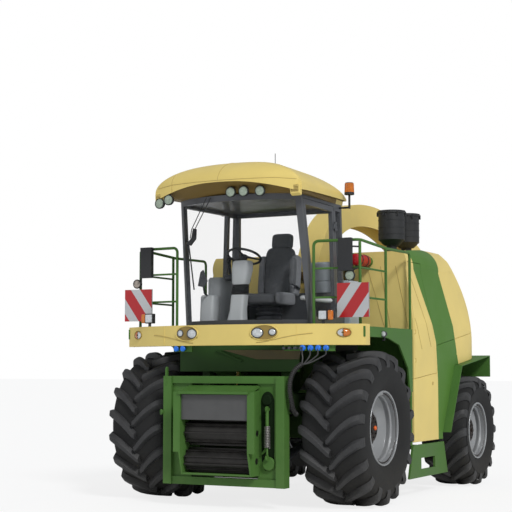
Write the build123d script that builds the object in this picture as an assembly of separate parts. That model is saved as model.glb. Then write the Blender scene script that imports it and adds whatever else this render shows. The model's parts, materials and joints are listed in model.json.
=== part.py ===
from build123d import *
import os
from collections import namedtuple
from math import atan2, cos, degrees, hypot, pi, radians, sin, sqrt

# Self-propelled forage harvester, in millimetres. Forward is -Y, the machine's left side is +X,
# up is +Z and the ground is z = 0. Heights are above the ground. Lengths y are measured from the
# front axle, and save() moves every piece so that the middle of the whole length is at y = 0.

# Driving sizes of the whole machine
WHEELBASE = 3318
SPOUT_TIP_Y = 5330
MOUTH_Y = -1200
MOUTH_LIP = 20
MIDDLE_Y = (SPOUT_TIP_Y + MOUTH_Y - MOUTH_LIP) / 2
RUNNING = 0.05
SEAT = 0.3
PANEL_GAP = 6

# Wheels: outside radius over the lugs, width, rim radius, track half width, axle place
Wheel = namedtuple("Wheel", "radius width rim_radius side_x axle_y disc_x disc_r lugs lug_depth")
FRONT = Wheel(905, 780, 430, 1283, 0, 90, 250, 18, 52)
REAR = Wheel(747, 620, 378, 1379, WHEELBASE, 60, 215, 16, 42)
# Tread: share of a pitch that a lug runs back by, its width and its reach past the middle
LUG_LEAN = 0.85
LUG_WIDTH = 80
LUG_OVERLAP = 12
RIM_WALL = 14
BEAD_DEPTH = 26
SPINDLE_R = 60
SPINDLE_LENGTH = 70

# Frame rails, arms out to the body panels and the rear hitch
HOOD_REAR = WHEELBASE + 1132
RAIL_REAR = HOOD_REAR - 150
RAIL_X = 480
RAIL_W = 110
RAIL_Z = 1060
RAIL_H = 240
RAIL_FRONT = -600
CROSS = 140
HITCH_REACH = 70
HITCH_PLATE = 25
HITCH_Z = (760, 850)
HITCH_BORE_R = 16.5

# Cab
CAB_FLOOR = 2050
CAB_TOP = 3640
CAB_REAR = 720
CAB_WALL = 50
PILLAR = 55
SILL = 120
GLASS_SETBACK = 15
GLASS = 10
FLOOR_H = 60
SEAT_H = 270
COLUMN_X = -110
STEERING_R = 205
B_POST_Y = 450
DOOR_PIN_OUT = 20
DOOR_PIN_R = 8
DOOR_PIN_ZS = (2350, 3350)
# Cab outlines at floor and at top: half width at the front pillar, its y, nose y, half width at rear
CabPlan = namedtuple("CabPlan", "z front_x front_y nose_y rear_x")
CAB_LOW = CabPlan(CAB_FLOOR, 872, -330, -640, 800)
CAB_HIGH = CabPlan(CAB_TOP, 816, -573, -860, 760)

# Roof cap
ROOF_Z = CAB_TOP
ROOF_EDGE = 75
ROOF_TOP = 4060
ROOF_X = 985
ROOF_REAR_X = 800
ROOF_FRONT = -1090
ROOF_CORNER_Y = -890
ROOF_REAR = 790
LIP_X = 880
LIP_RISE = 130
LIP_ROOT_Y = -790

# Hood over the engine
HOOD_X = 1500
HOOD_FRONT = 1265
HOOD_BOTTOM = 640
HOOD_CROWN = 3230
HOOD_TOP = HOOD_CROWN - 100
HOOD_WALL = 35
HOOD_CORNER = 1090
SHOULDER = 260
# Rear corners: directions of their flanks in the plan, and how far the flanks are drawn in at each height
CORNER_TURNS = (radians(18.5), radians(45), radians(68))
CORNER_TAPER = [(0, 1850), (125, 2660), (320, 3060), (560, 3290)]
DOOR_TOP = HOOD_TOP - 180
DOOR_FRONT_GAP = 14
DOOR_HINGE_X = 1482
DOOR_HINGE_Y = 1331
DOOR_HINGE_Z = (1700, 2060)
HINGE_PIN_R = 8
TOP_X = 1400
BAND_LEAN = 0.235
FENDER_FRONT = WHEELBASE - 1008
BAND_FRONT = FENDER_FRONT - 190
BAND_FRONT_Z = 1450
SEAM_Z = 1540
SEAM_RISE = 0.09
REAR_SEAM_Z = 1900
REAR_SEAM_RISE = 0.138
FENDER_Z = 1640
FENDER_RISE = 0.12
FENDER_BEND = WHEELBASE - 518
FENDER_END = WHEELBASE + 690
FENDER_FOOT = 760
SKIRT_END = WHEELBASE - 418
REAR_BEAM = 44
DRUM_R = 178
DRUM_H = 400
DRUM_PLACES = ((820, 2250), (850, 2720))
GRILLE_TOP = 1815
GRILLE_HINGE_X = 883
GRILLE_HINGE_Y = RAIL_REAR + 104
GRILLE_HINGE_Z = (1420, 1650)

# Arms from the rails out to the body panels
ARM = 60
ARM_YS = (HOOD_FRONT + 75, BAND_FRONT + 60)

# Walkway, railing and ladder
DECK_Z = 2080
DECK = 40
DECK_X = 875
DECK_REAR = 965
RAILING_X = 1495
RAILING_FRONT = -412
LADDER_REAR = 1200
LADDER_FOOT = 640
BOARD = 395
BEACON = (905, 640)

# Intake
FEED_PIVOT = (-420, 960)
FEED_PIN_R = 60
FEED_INNER_X = 440
FEED_PLATE = 20
ROLL_GAP = 15
ROLL_SHAFT_R = 38
LIFT_X = 620
LIFT_PIN_R = 20
LIFT_ROD_EYE = (-850, 480)
LIFT_BARREL_EYE = (-150, 700)

# Steering
KINGPIN_X = 1180
KINGPIN_R = 32
AXLE_BOSS_R = 70
AXLE_BOSS_H = 210
STEER_ARM = 200
TIE_PIN_R = 16

# Spout
TURRET_Y = 1200
TURRET_Z = 2560
TURRET_R = 300
SPOUT_W = 320
SPOUT_D = 310
SPOUT_WALL = 12
OPEN_FROM_Y = 2100
NECK_TOP = 2700
SPOUT_PIVOT = (1345, 2890)
SPOUT_PIN_R = 25
SPOUT_FOOT = (1445, 2635)
SPOUT_EYE = (1830, 3300)
SPOUT_EYE_R = 16
CYLINDER_X = 235
FLAP_PIN_R = 12
# Middle line of the spout, seen from the side
SPOUT_LINE = [(1400, 2800), (1560, 3130), (1800, 3420), (2250, 3660), (2900, 3765), (3600, 3740), (4300, 3580),
              (SPOUT_TIP_Y - 330, 3330)]

sides = {"left": 1, "right": -1}


def block(x0, x1, y0, y1, z0, z1):
    return Pos((x0 + x1) / 2, (y0 + y1) / 2, (z0 + z1) / 2) * Box(abs(x1 - x0), abs(y1 - y0), abs(z1 - z0))


def side_face(points):
    return make_face(Polyline(*points, close=True))


def face_of(lines):
    """A flat face from lines and arcs that meet end to end."""
    return make_face([edge for line in lines for edge in line.edges()])


def across(outline, x0, x1):
    """An outline in (y, z) carried along X from x0 to x1."""
    return extrude(Plane.YZ.offset(x0) * outline, x1 - x0)


def upright(outline, z0, z1):
    """An outline in (x, y) carried up from z0 to z1."""
    return extrude(Plane.XY.offset(z0) * outline, z1 - z0)


def along(outline, y0, y1):
    """An outline in (x, z) carried along Y from y0 to y1."""
    return extrude(Plane.XZ.offset(-y1) * outline, y1 - y0)


def rod(start, end, radius):
    """A round bar between two points."""
    a, b = Vector(*start), Vector(*end)
    return extrude(Plane(origin=a, z_dir=b - a) * Circle(radius), (b - a).length)


def pipe(points, radius, bend):
    """A bent tube through the points, drawn solid."""
    if len(points) == 2:
        return rod(points[0], points[1], radius)
    path = FilletPolyline(*points, radius=bend)
    return sweep(Plane(origin=path @ 0, z_dir=path % 0) * Circle(radius), path=path)


def both(shape):
    """A piece with its mirror image on the other side of the machine."""
    return Compound(children=[shape, mirror(shape, about=Plane.YZ)])


def on_side(shape, side):
    return shape if side > 0 else mirror(shape, about=Plane.YZ)


def joined(shapes):
    """One solid from pieces that touch or overlap."""
    result = shapes[0]
    for shape in shapes[1:]:
        result = result + shape
    return result


def apart(shapes):
    return Compound(children=list(shapes))


def save(name, shape):
    solids = [Pos(0, -MIDDLE_Y, 0) * solid for solid in shape.solids()]
    export_step(solids[0] if len(solids) == 1 else Compound(children=solids), f"parts/{name}.step")


# Tyres and rims, turned about the X axis at their own middle

def ring_body(sides_count, stations):
    """Flat-sided disc through polygons of (x, radius) across the X axis."""
    planes = [Plane(origin=(x, 0, 0), x_dir=(0, 0, -1), z_dir=(1, 0, 0)) for x, _ in stations]
    return loft([plane * RegularPolygon(radius, sides_count) for plane, (_, radius) in zip(planes, stations)],
                ruled=True)


def lug(wheel):
    """One bar of the tread at the bottom of the tyre, from its middle back to the left shoulder."""
    half, run = wheel.width / 2, wheel.radius * pi / wheel.lugs * LUG_LEAN
    nose_y = run + LUG_WIDTH * 0.4
    top = sqrt(wheel.radius ** 2 - nose_y ** 2)
    plan = make_face(Polyline((-LUG_OVERLAP, nose_y), (half, -run + LUG_WIDTH * 0.6), (half, -run - LUG_WIDTH * 0.6),
                              (-LUG_OVERLAP, run - LUG_WIDTH * 0.4), close=True))
    foot = wheel.radius - 3 * wheel.lug_depth
    side = Plane.XZ * make_face(Polyline((-LUG_OVERLAP, -top), (half * 0.74, -top), (half * 0.985, -top + wheel.lug_depth),
                                         (half * 0.985, -foot), (-LUG_OVERLAP, -foot), close=True))
    bar = extrude(Plane.XY.offset(-wheel.radius) * plan, wheel.radius) & extrude(side, wheel.radius, both=True)
    return Rot(-degrees(atan2(nose_y, top)), 0, 0) * bar


def tyre(wheel):
    """Flat-sided carcass, two rows of lugs half a pitch apart, hollowed for the rim."""
    half, bead = wheel.width / 2, wheel.width * 0.4 - RIM_WALL - 0.5
    base, flat = wheel.radius - wheel.lug_depth, cos(pi / wheel.lugs)
    right = [(half * 0.8, base), (half, base - 130)]
    body = ring_body(wheel.lugs, [(-x, r) for x, r in reversed(right)] + right)
    recess = ring_body(wheel.lugs, [(bead, wheel.rim_radius + 16), (half + 1, wheel.rim_radius + 140)])
    bar = lug(wheel)
    other = mirror(bar, about=Plane.YZ)
    step = 360 / wheel.lugs
    bars = [Rot(i * step, 0, 0) * bar for i in range(wheel.lugs)] + [Rot((i + 0.5) * step, 0, 0) * other for i in range(wheel.lugs)]
    bore = (wheel.rim_radius - BEAD_DEPTH + 0.5) / flat
    body = body.fuse(*bars) - ring_body(wheel.lugs, [(-half - 1, bore), (half + 1, bore)])
    return body - recess - mirror(recess, about=Plane.YZ)


def rim(wheel):
    """Dished rim: barrel with a lip at each side, sloping disc, hub with a bore for the spindle."""
    half = wheel.width * 0.4
    outer, lip = wheel.rim_radius - BEAD_DEPTH, wheel.rim_radius
    inner = outer - RIM_WALL
    disc, hub_r = wheel.disc_x, wheel.disc_r
    profile = [(-half, inner), (-half, lip), (-half + RIM_WALL, lip), (-half + RIM_WALL, outer),
               (half - RIM_WALL, outer), (half - RIM_WALL, lip), (half, lip), (half, inner),
               (half - 50, inner), (half - 62, inner - 14), (half - 86, inner - 14), (half - 98, inner - 6),
               (half - 120, inner - 6), (half - 134, inner - 24), (disc + 84, inner - 34), (disc + 20, hub_r),
               (disc + 20, 170), (disc + 82, 165), (disc + 90, 150), (disc + 90, 0),
               (disc, 0), (disc, hub_r), (disc + 50, inner)]
    body = revolve(side_face(profile), Axis.X)
    bore = Pos(disc - 1, 0, 0) * (Rot(0, 90, 0) * extrude(Circle(SPINDLE_R + RUNNING), SPINDLE_LENGTH))
    return body - bore


def wheel_place(wheel):
    return Pos(wheel.side_x, wheel.axle_y, wheel.radius)


def wheels():
    for name, wheel in {"front": FRONT, "rear": REAR}.items():
        tyre_body, rim_body = wheel_place(wheel) * tyre(wheel), wheel_place(wheel) * rim(wheel)
        for side, sign in sides.items():
            save(f"{name}_tyre_{side}", on_side(tyre_body, sign))
            save(f"{name}_rim_{side}", on_side(rim_body, sign))


# Frame, axles, engine and crop path

def chassis_frame():
    return both(block(RAIL_X, RAIL_X + RAIL_W, RAIL_FRONT, RAIL_REAR, RAIL_Z, RAIL_Z + RAIL_H))


def cross_members():
    """Bars between the rails, the last with the hitch plate and its two jaws."""
    bars = [block(-RAIL_X, RAIL_X, y, y + CROSS, RAIL_Z + 20, RAIL_Z + RAIL_H - 20)
            for y in (HOOD_FRONT - 115, BAND_FRONT + 130, WHEELBASE - CROSS / 2, RAIL_REAR - CROSS)]
    face_y = RAIL_REAR + 40
    hitch = block(-260, 260, RAIL_REAR, face_y, 700, RAIL_Z + RAIL_H)
    jaws = [block(-70, 70, face_y, face_y + HITCH_REACH + 60, z, z + HITCH_PLATE) for z in HITCH_Z]
    bore = Pos(0, face_y + HITCH_REACH, sum(HITCH_Z) / 2) * Cylinder(HITCH_BORE_R, 400)
    return apart([*bars[:-1], joined([bars[-1], hitch, *jaws]) - bore])


def body_arms():
    """Arms from the rails out to the panels, the rear ones with a post up to the hood."""
    inside, top = HOOD_X - HOOD_WALL, RAIL_Z + RAIL_H
    front, rear = [block(RAIL_X + RAIL_W, inside, y, y + ARM, top - ARM, top) for y in ARM_YS]
    post = block(inside - ARM, inside, ARM_YS[1], ARM_YS[1] + ARM, top - ARM, 2150)
    return apart([*both(front).solids(), *both(rear + post).solids()])


def front_axle():
    z = FRONT.radius
    hub_end = FRONT.side_x + FRONT.disc_x
    beam = block(-700, 700, -130, 130, z - 130, z + 130)
    pads = [block(s * RAIL_X, s * (RAIL_X + RAIL_W), -130, 130, z + 130, RAIL_Z) for s in (1, -1)]
    drives = []
    for s in (1, -1):
        drives += [rod((s * 700, 0, z), (s * (hub_end - 40), 0, z), 190),
                   rod((s * (hub_end - 40), 0, z), (s * (hub_end + SPINDLE_LENGTH - 8), 0, z), SPINDLE_R)]
    return joined([beam, *pads, *drives])


def rear_axle():
    z = REAR.radius
    beam = block(-KINGPIN_X + 60, KINGPIN_X - 60, WHEELBASE - 85, WHEELBASE + 85, z - 85, z + 85)
    bracket = block(-200, 200, WHEELBASE - 60, WHEELBASE + 60, z + 85, RAIL_Z + 20)
    bosses = [Pos(s * KINGPIN_X, WHEELBASE, z) * Cylinder(AXLE_BOSS_R, AXLE_BOSS_H) for s in (1, -1)]
    bores = [Pos(s * KINGPIN_X, WHEELBASE, z) * Cylinder(KINGPIN_R + RUNNING, AXLE_BOSS_H + 2) for s in (1, -1)]
    body = joined([beam, bracket, *bosses])
    return body - bores[0] - bores[1]


def knuckle():
    """Fork over the axle boss with its kingpin, spindle to the wheel and arm for the tie rod."""
    z, fork = REAR.radius, AXLE_BOSS_H / 2 + SEAT
    centre = Pos(KINGPIN_X, WHEELBASE, z)
    plate_x = KINGPIN_X + AXLE_BOSS_R + 20
    ear_h = 34
    pieces = [centre * Cylinder(KINGPIN_R, AXLE_BOSS_H + 20)]
    for s in (1, -1):
        ear_z = z + s * (fork + ear_h / 2)
        pieces += [Pos(KINGPIN_X, WHEELBASE, ear_z) * Cylinder(AXLE_BOSS_R, ear_h),
                   block(KINGPIN_X, plate_x + 40, WHEELBASE - 70, WHEELBASE + 70, ear_z - ear_h / 2,
                         ear_z + ear_h / 2)]
    pieces.append(block(plate_x, plate_x + 40, WHEELBASE - 70, WHEELBASE + 70, z - fork - ear_h, z + fork + ear_h))
    hub_end = REAR.side_x + REAR.disc_x
    pieces += [rod((plate_x, WHEELBASE, z), (hub_end - 12, WHEELBASE, z), 110),
               rod((hub_end - 12, WHEELBASE, z), (hub_end + SPINDLE_LENGTH - 8, WHEELBASE, z), SPINDLE_R)]
    arm_top = z - fork
    pieces += [block(KINGPIN_X - 35, KINGPIN_X + 35, WHEELBASE, WHEELBASE + STEER_ARM, arm_top - ear_h, arm_top),
               Pos(KINGPIN_X, WHEELBASE + STEER_ARM, arm_top - ear_h / 2) * Cylinder(35, ear_h),
               Pos(KINGPIN_X, WHEELBASE + STEER_ARM, arm_top - ear_h - 25) * Cylinder(TIE_PIN_R, 60)]
    return joined(pieces)


def tie_rod():
    z = REAR.radius - AXLE_BOSS_H / 2 - SEAT - 34 - 28
    y = WHEELBASE + STEER_ARM
    bar = rod((-KINGPIN_X + 30, y, z), (KINGPIN_X - 30, y, z), 20)
    eyes = [Pos(s * KINGPIN_X, y, z) * Cylinder(38, 44) for s in (1, -1)]
    bores = [Pos(s * KINGPIN_X, y, z) * Cylinder(TIE_PIN_R + RUNNING, 46) for s in (1, -1)]
    return joined([bar, *eyes]) - bores[0] - bores[1]


def engine_block():
    return block(-800, 800, WHEELBASE - 818, WHEELBASE - 68, RAIL_Z + RAIL_H, 2350)


def chopper_housing():
    """Drum housing ahead of the front axle, crop duct over it and up to the turret seat."""
    y, z = FEED_PIVOT
    drum = block(-400, 400, -700, -145, 620, RAIL_Z + RAIL_H)
    shelf = block(-RAIL_X - RAIL_W, RAIL_X + RAIL_W, -480, -300, RAIL_Z + RAIL_H, RAIL_Z + RAIL_H + 30)
    duct = across(side_face([(-300, 1150), (-300, 1330), (1000, 2000), (1000, 2450), (1400, 2450), (1400, 1900),
                             (300, 1150)]), -250, 250)
    seat = Pos(0, TURRET_Y, TURRET_Z - 60) * Cylinder(TURRET_R - 30, 120)
    pins = [rod((s * 395, y, z), (s * (FEED_INNER_X + FEED_PLATE + 30), y, z), FEED_PIN_R) for s in (1, -1)]
    return joined([drum, shelf, duct, seat, *pins])


# Intake

def feeder_frame():
    """Upright frame that carries the front tool, with the roll housing that turns on the drum's axis."""
    y, z = FEED_PIVOT
    inner, outer = FEED_INNER_X, FEED_INNER_X + FEED_PLATE
    cheek = side_face([(MOUTH_Y, 1330), (-620, 1370), (y + 40, z + 100), (y + 90, z), (y + 40, z - 110),
                       (-760, 380), (-1130, 380), (MOUTH_Y, 640)])
    pieces = [block(-800, 800, -960, -880, 1425, 1510), block(-755, 755, -960, -880, 250, 340)]
    for s in (1, -1):
        pieces += [across(cheek, inner, outer) if s > 0 else across(cheek, -outer, -inner),
                   block(s * 690, s * 800, -980, -850, 250, 1510),
                   block(s * inner, s * 690, -930, -905, 340, 1425),
                   block(s * inner, s * (outer + 70), MOUTH_Y, MOUTH_Y + 30, 640, 1330)]
    top = side_face([(MOUTH_Y - MOUTH_LIP, 1305), (MOUTH_Y - MOUTH_LIP, 1335), (-930, 1405), (-620, 1385), (-620, 1360),
                     (-930, 1375), (MOUTH_Y, 1305)])
    pieces += [across(top, -outer, outer),
               block(-inner, inner, -1130, -760, 380, 400)]
    holes = [rod((s * (inner - 5), y, z), (s * (outer + 5), y, z), FEED_PIN_R + RUNNING) for s in (1, -1)]
    ears = [block(s * (LIFT_X + 32), s * (LIFT_X + 70), LIFT_ROD_EYE[0] - 60, LIFT_ROD_EYE[0] + 40,
                  LIFT_ROD_EYE[1] - 40, LIFT_ROD_EYE[1] + 40) for s in (1, -1)]
    body = joined(pieces + ears) - holes[0] - holes[1]
    for roll in FEED_ROLLS.values():
        for s in (1, -1):
            body = body - rod((s * (inner - 5), roll.y, roll.z), (s * (outer + 5), roll.y, roll.z),
                              ROLL_SHAFT_R + RUNNING)
    for s in (1, -1):
        x0, x1 = s * (LIFT_X - 32), s * (LIFT_X + 40)
        body = body + rod((x0, *LIFT_ROD_EYE), (x1, *LIFT_ROD_EYE), LIFT_PIN_R)
    return body


def feeder_shield():
    return block(-FEED_INNER_X, FEED_INNER_X, MOUTH_Y + 31, MOUTH_Y + 43, 1010, 1300)


Roll = namedtuple("Roll", "y z radius flights")
FEED_ROLLS = {"upper_feed_roll": Roll(-985, 860, 150, 8), "lower_feed_roll": Roll(-1000, 545, 140, 10)}


def feed_roll(roll):
    """Cleated steel roll lying across the mouth."""
    half = FEED_INNER_X - ROLL_GAP
    pieces = [rod((-half, 0, 0), (half, 0, 0), roll.radius - 24)]
    for i in range(roll.flights):
        pieces.append(Rot(360 / roll.flights * i, 0, 0) * block(-half, half, -9, 9, roll.radius - 40, roll.radius))
    pieces.append(rod((-FEED_INNER_X - 15, 0, 0), (FEED_INNER_X + 15, 0, 0), ROLL_SHAFT_R))
    return Pos(0, roll.y, roll.z) * joined(pieces)


def lift_direction():
    (ya, za), (yb, zb) = LIFT_ROD_EYE, LIFT_BARREL_EYE
    length = hypot(ya - yb, za - zb)
    return length, Vector(0, (ya - yb) / length, (za - zb) / length)


def lift_cylinders():
    length, d = lift_direction()
    foot = Vector(LIFT_X, *LIFT_BARREL_EYE)
    barrel = rod(foot + d * 62, foot + d * (length * 0.62), 48)
    neck = rod(foot + d * 30, foot + d * 62, 26)
    eye = rod(foot - Vector(26, 0, 0), foot + Vector(26, 0, 0), 42)
    body = barrel + neck + eye
    body = body - rod(foot - Vector(30, 0, 0), foot + Vector(30, 0, 0), LIFT_PIN_R + RUNNING)
    body = body - rod(foot + d * 110, foot + d * (length * 0.62 + 5), 25 + RUNNING)
    return both(body)


def lift_rods():
    length, d = lift_direction()
    foot, tip = Vector(LIFT_X, *LIFT_BARREL_EYE), Vector(LIFT_X, *LIFT_ROD_EYE)
    bar = rod(foot + d * (length * 0.42), tip - d * 30, 25)
    eye = rod(tip - Vector(26, 0, 0), tip + Vector(26, 0, 0), 40)
    return both(bar + eye - rod(tip - Vector(30, 0, 0), tip + Vector(30, 0, 0), LIFT_PIN_R + 6))


def lift_brackets():
    """Ears on the front axle that hold the lift cylinders' pins."""
    y, z = LIFT_BARREL_EYE
    ear = block(LIFT_X + 32, LIFT_X + 62, y - 36, -100, z - 50, FRONT.radius - 100)
    pin = rod((LIFT_X - 32, y, z), (LIFT_X + 40, y, z), LIFT_PIN_R)
    return ear + pin


# Cab

def cab_plan(plan, inset):
    fx, rx = plan.front_x - inset, plan.rear_x - inset
    front, rear = plan.front_y + inset * 0.3, CAB_REAR - inset
    nose = ThreePointArc((fx, front), (0, plan.nose_y + inset), (-fx, front))
    walls = [Line((-fx, front), (-rx, rear)), Line((-rx, rear), (rx, rear)), Line((rx, rear), (fx, front))]
    return Plane.XY.offset(plan.z) * face_of([nose, *walls])


def cab_volume(inset):
    return loft([cab_plan(CAB_LOW, inset), cab_plan(CAB_HIGH, inset)], ruled=True)


def pillar_y(z):
    share = (z - CAB_LOW.z) / (CAB_HIGH.z - CAB_LOW.z)
    return CAB_LOW.front_y + share * (CAB_HIGH.front_y - CAB_LOW.front_y)


def side_opening(back_y, sill, head, margin):
    """Outline of an opening beside the front pillar, in (y, z)."""
    low, high = CAB_FLOOR + sill + margin, CAB_TOP - head - margin
    return side_face([(pillar_y(low) + PILLAR + margin, low), (back_y - margin, low), (back_y - margin, high),
                      (pillar_y(high) + PILLAR + margin, high)])


def front_opening(margin):
    low, high = CAB_FLOOR + SILL + margin, CAB_TOP - 70 - margin
    wide, narrow = CAB_LOW.front_x - PILLAR - margin, CAB_HIGH.front_x - PILLAR - margin
    return side_face([(-wide, low), (wide, low), (narrow, high), (-narrow, high)])


def rear_opening(margin):
    low, high = CAB_FLOOR + 500 + margin, CAB_TOP - 90 - margin
    wide = CAB_HIGH.rear_x - PILLAR - 30 - margin
    return side_face([(-wide, low), (wide, low), (wide, high), (-wide, high)])


def cab_windows(margin):
    """Cutters for every window but the door's: windscreen, rear, right side and both quarter lights."""
    quarter = side_face([(B_POST_Y + PILLAR + margin, CAB_FLOOR + 500 + margin),
                         (CAB_REAR - PILLAR - margin, CAB_FLOOR + 500 + margin),
                         (CAB_REAR - PILLAR - margin, CAB_TOP - 90 - margin),
                         (B_POST_Y + PILLAR + margin, CAB_TOP - 90 - margin)])
    return [along(front_opening(margin), -1100, -150), along(rear_opening(margin), 500, 900),
            across(side_opening(B_POST_Y, SILL, 80, margin), -1000, -600),
            across(quarter, 600, 1000), across(quarter, -1000, -600)]


def door_opening(margin):
    return across(side_opening(B_POST_Y, 66, 40, margin), 600, 1000)


def door_hinge_at(z):
    """Middle of the door's hinge pin at a height: a little outside the wall, in the gap behind the door."""
    y = B_POST_Y - PANEL_GAP / 2
    share_y, share_z = (y - CAB_LOW.front_y) / (CAB_REAR - CAB_LOW.front_y), (z - CAB_LOW.z) / (CAB_HIGH.z - CAB_LOW.z)
    low = CAB_LOW.front_x + share_y * (CAB_LOW.rear_x - CAB_LOW.front_x)
    share_y = (y - CAB_HIGH.front_y) / (CAB_REAR - CAB_HIGH.front_y)
    high = CAB_HIGH.front_x + share_y * (CAB_HIGH.rear_x - CAB_HIGH.front_x)
    return Vector(low + share_z * (high - low) + DOOR_PIN_OUT, y, z)


def hinge_knuckle(z0, z1, radius, reach):
    """Barrel of the door's hinge between two heights, with a tab of length `reach` to the wall beside it."""
    low, high = door_hinge_at(z0), door_hinge_at(z1)
    tab = block(low.X - DOOR_PIN_OUT - 10, low.X, low.Y, low.Y + reach, z0, z1)
    return rod(low, high, radius) + tab


def door_glass_cut(margin):
    low, high = CAB_FLOOR + SILL + 40 + margin, CAB_TOP - 110 - margin
    outline = side_face([(pillar_y(low) + 2 * PILLAR + margin, low), (B_POST_Y - PILLAR - margin, low),
                         (B_POST_Y - PILLAR - margin, high), (pillar_y(high) + 2 * PILLAR + margin, high)])
    return across(outline, 600, 1000)


def cab():
    outer, inner = cab_volume(0), cab_volume(CAB_WALL)
    room = inner & block(-1000, 1000, -1200, 900, CAB_FLOOR + FLOOR_H, CAB_TOP - 40)
    shell = outer - room
    for cut in cab_windows(0):
        shell = shell - cut
    door = (shell & door_opening(PANEL_GAP)) - door_glass_cut(0)
    shell = shell - door_opening(0)
    for z in DOOR_PIN_ZS:
        eye = hinge_knuckle(z - 30, z + 30, DOOR_PIN_R + 7, -45)
        door = door + eye - rod(door_hinge_at(z - 35), door_hinge_at(z + 35), DOOR_PIN_R + RUNNING)
        shell = shell + rod(door_hinge_at(z - 50), door_hinge_at(z + 50), DOOR_PIN_R)
        for z0, z1 in ((z - 55, z - 36), (z + 36, z + 55)):
            shell = shell + hinge_knuckle(z0, z1, DOOR_PIN_R + 7, 45)
    pane = cab_volume(GLASS_SETBACK) - cab_volume(GLASS_SETBACK + GLASS)
    glass = [piece for cut in cab_windows(SEAT) for piece in (pane & cut).solids()]
    door_glass = pane & door_glass_cut(SEAT)
    save("cab_shell", shell)
    save("cab_glass", apart(glass))
    save("cab_door", door)
    save("door_glass", door_glass)


def cab_roof():
    """Moulded cap: bowed front lip that arches over the windscreen, tapered sides, domed top."""
    nose = ThreePointArc((ROOF_X, ROOF_CORNER_Y), (0, ROOF_FRONT), (-ROOF_X, ROOF_CORNER_Y))
    walls = [Line((-ROOF_X, ROOF_CORNER_Y), (-ROOF_REAR_X, ROOF_REAR)),
             Line((-ROOF_REAR_X, ROOF_REAR), (ROOF_REAR_X, ROOF_REAR)),
             Line((ROOF_REAR_X, ROOF_REAR), (ROOF_X, ROOF_CORNER_Y))]
    plan = upright(face_of([nose, *walls]), ROOF_Z + SEAT, ROOF_TOP + 40)
    edge_x, edge_z, bend_x, bend_z = ROOF_X + 10, ROOF_Z + ROOF_EDGE, ROOF_X - 190, ROOF_TOP - 185
    section = [Line((-edge_x, edge_z), (-edge_x, ROOF_Z)), Line((-edge_x, ROOF_Z), (edge_x, ROOF_Z)),
               Line((edge_x, ROOF_Z), (edge_x, edge_z)),
               ThreePointArc((edge_x, edge_z), (edge_x - 50, bend_z - 70), (bend_x, bend_z)),
               ThreePointArc((bend_x, bend_z), (0, ROOF_TOP), (-bend_x, bend_z)),
               ThreePointArc((-bend_x, bend_z), (-edge_x + 50, bend_z - 70), (-edge_x, edge_z))]
    across_body = along(face_of(section), ROOF_FRONT - 50, ROOF_REAR + 50)
    front, rear, crest = ROOF_FRONT - 10, ROOF_REAR + 20, (ROOF_FRONT + 600, ROOF_TOP + 2)
    profile = [Line((rear, ROOF_Z + 70), (rear, ROOF_Z)), Line((rear, ROOF_Z), (front, ROOF_Z)),
               Line((front, ROOF_Z), (front, ROOF_Z + 170)),
               ThreePointArc((front, ROOF_Z + 170), (ROOF_FRONT + 200, ROOF_TOP - 75), crest),
               ThreePointArc(crest, (ROOF_REAR - 560, ROOF_TOP - 110), (rear, ROOF_Z + 70))]
    along_body = across(face_of(profile), -ROOF_X - 50, ROOF_X + 50)
    cap = plan & across_body & along_body
    arch = face_of([ThreePointArc((-LIP_X, ROOF_Z), (0, ROOF_Z + LIP_RISE), (LIP_X, ROOF_Z)),
                    Line((LIP_X, ROOF_Z), (-LIP_X, ROOF_Z))])
    wedge = across(side_face([(LIP_ROOT_Y, ROOF_Z - 1), (ROOF_FRONT - 60, ROOF_Z + LIP_RISE + 20),
                              (ROOF_FRONT - 60, ROOF_Z - 1)]), -LIP_X, LIP_X)
    return cap - (along(arch, ROOF_FRONT - 60, LIP_ROOT_Y) & wedge)


def antenna():
    return rod((370, -350, ROOF_TOP - 150), (370, -350, ROOF_TOP + 118), 4) - cab_roof()


def seat():
    """Driver's seat: cushion, leaning back, head rest and sprung base."""
    floor = CAB_FLOOR + FLOOR_H + SEAT
    cushion = block(-260, 260, -60, 440, floor + SEAT_H, floor + SEAT_H + 120)
    top = floor + SEAT_H
    back = across(side_face([(400, top + 80), (520, top + 80), (620, top + 730), (520, top + 730)]), -250, 250)
    head = across(side_face([(540, top + 730), (615, top + 730), (640, top + 910), (560, top + 910)]), -140, 140)
    base = block(-180, 180, 60, 380, floor, top)
    return joined([cushion, back, head, base])


def steering_column():
    """Tilted column with its bellows and a three-spoked wheel."""
    foot, top = Vector(COLUMN_X, -430, CAB_FLOOR + FLOOR_H + SEAT), Vector(COLUMN_X, -270, CAB_FLOOR + 860)
    post = loft([Plane(origin=foot, z_dir=(0, 0, 1)) * Rectangle(200, 140),
                 Plane(origin=top, z_dir=(0, 0.5, 1)) * Rectangle(120, 100)])
    tilt = Plane(origin=top + Vector(0, 25, 50), z_dir=(0, 0.42, 1))
    wheel = tilt * Torus(STEERING_R, 15)
    spokes = [tilt * (Rot(0, 0, a) * block(0, STEERING_R - 5, -16, 16, -8, 8)) for a in (90, 210, 330)]
    hub = tilt * Pos(0, 0, -30) * Cylinder(45, 70)
    return joined([post, hub, *spokes, wheel])


def cab_consoles():
    floor = CAB_FLOOR + FLOOR_H + SEAT
    arm = block(-460, -330, -150, 380, floor + 560, floor + 640) + block(-440, -350, 200, 360, floor, floor + 560)
    desk = block(-740, -500, -100, 600, floor, floor + 620)
    screen = block(-620, -380, -290, -260, floor + 700, floor + 880) + block(
        -450, -430, -260, -140, floor + 620, floor + 760) + block(-460, -420, -150, -100, floor + 590, floor + 700)
    return apart([arm + screen, desk])


# Front of the machine

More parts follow.
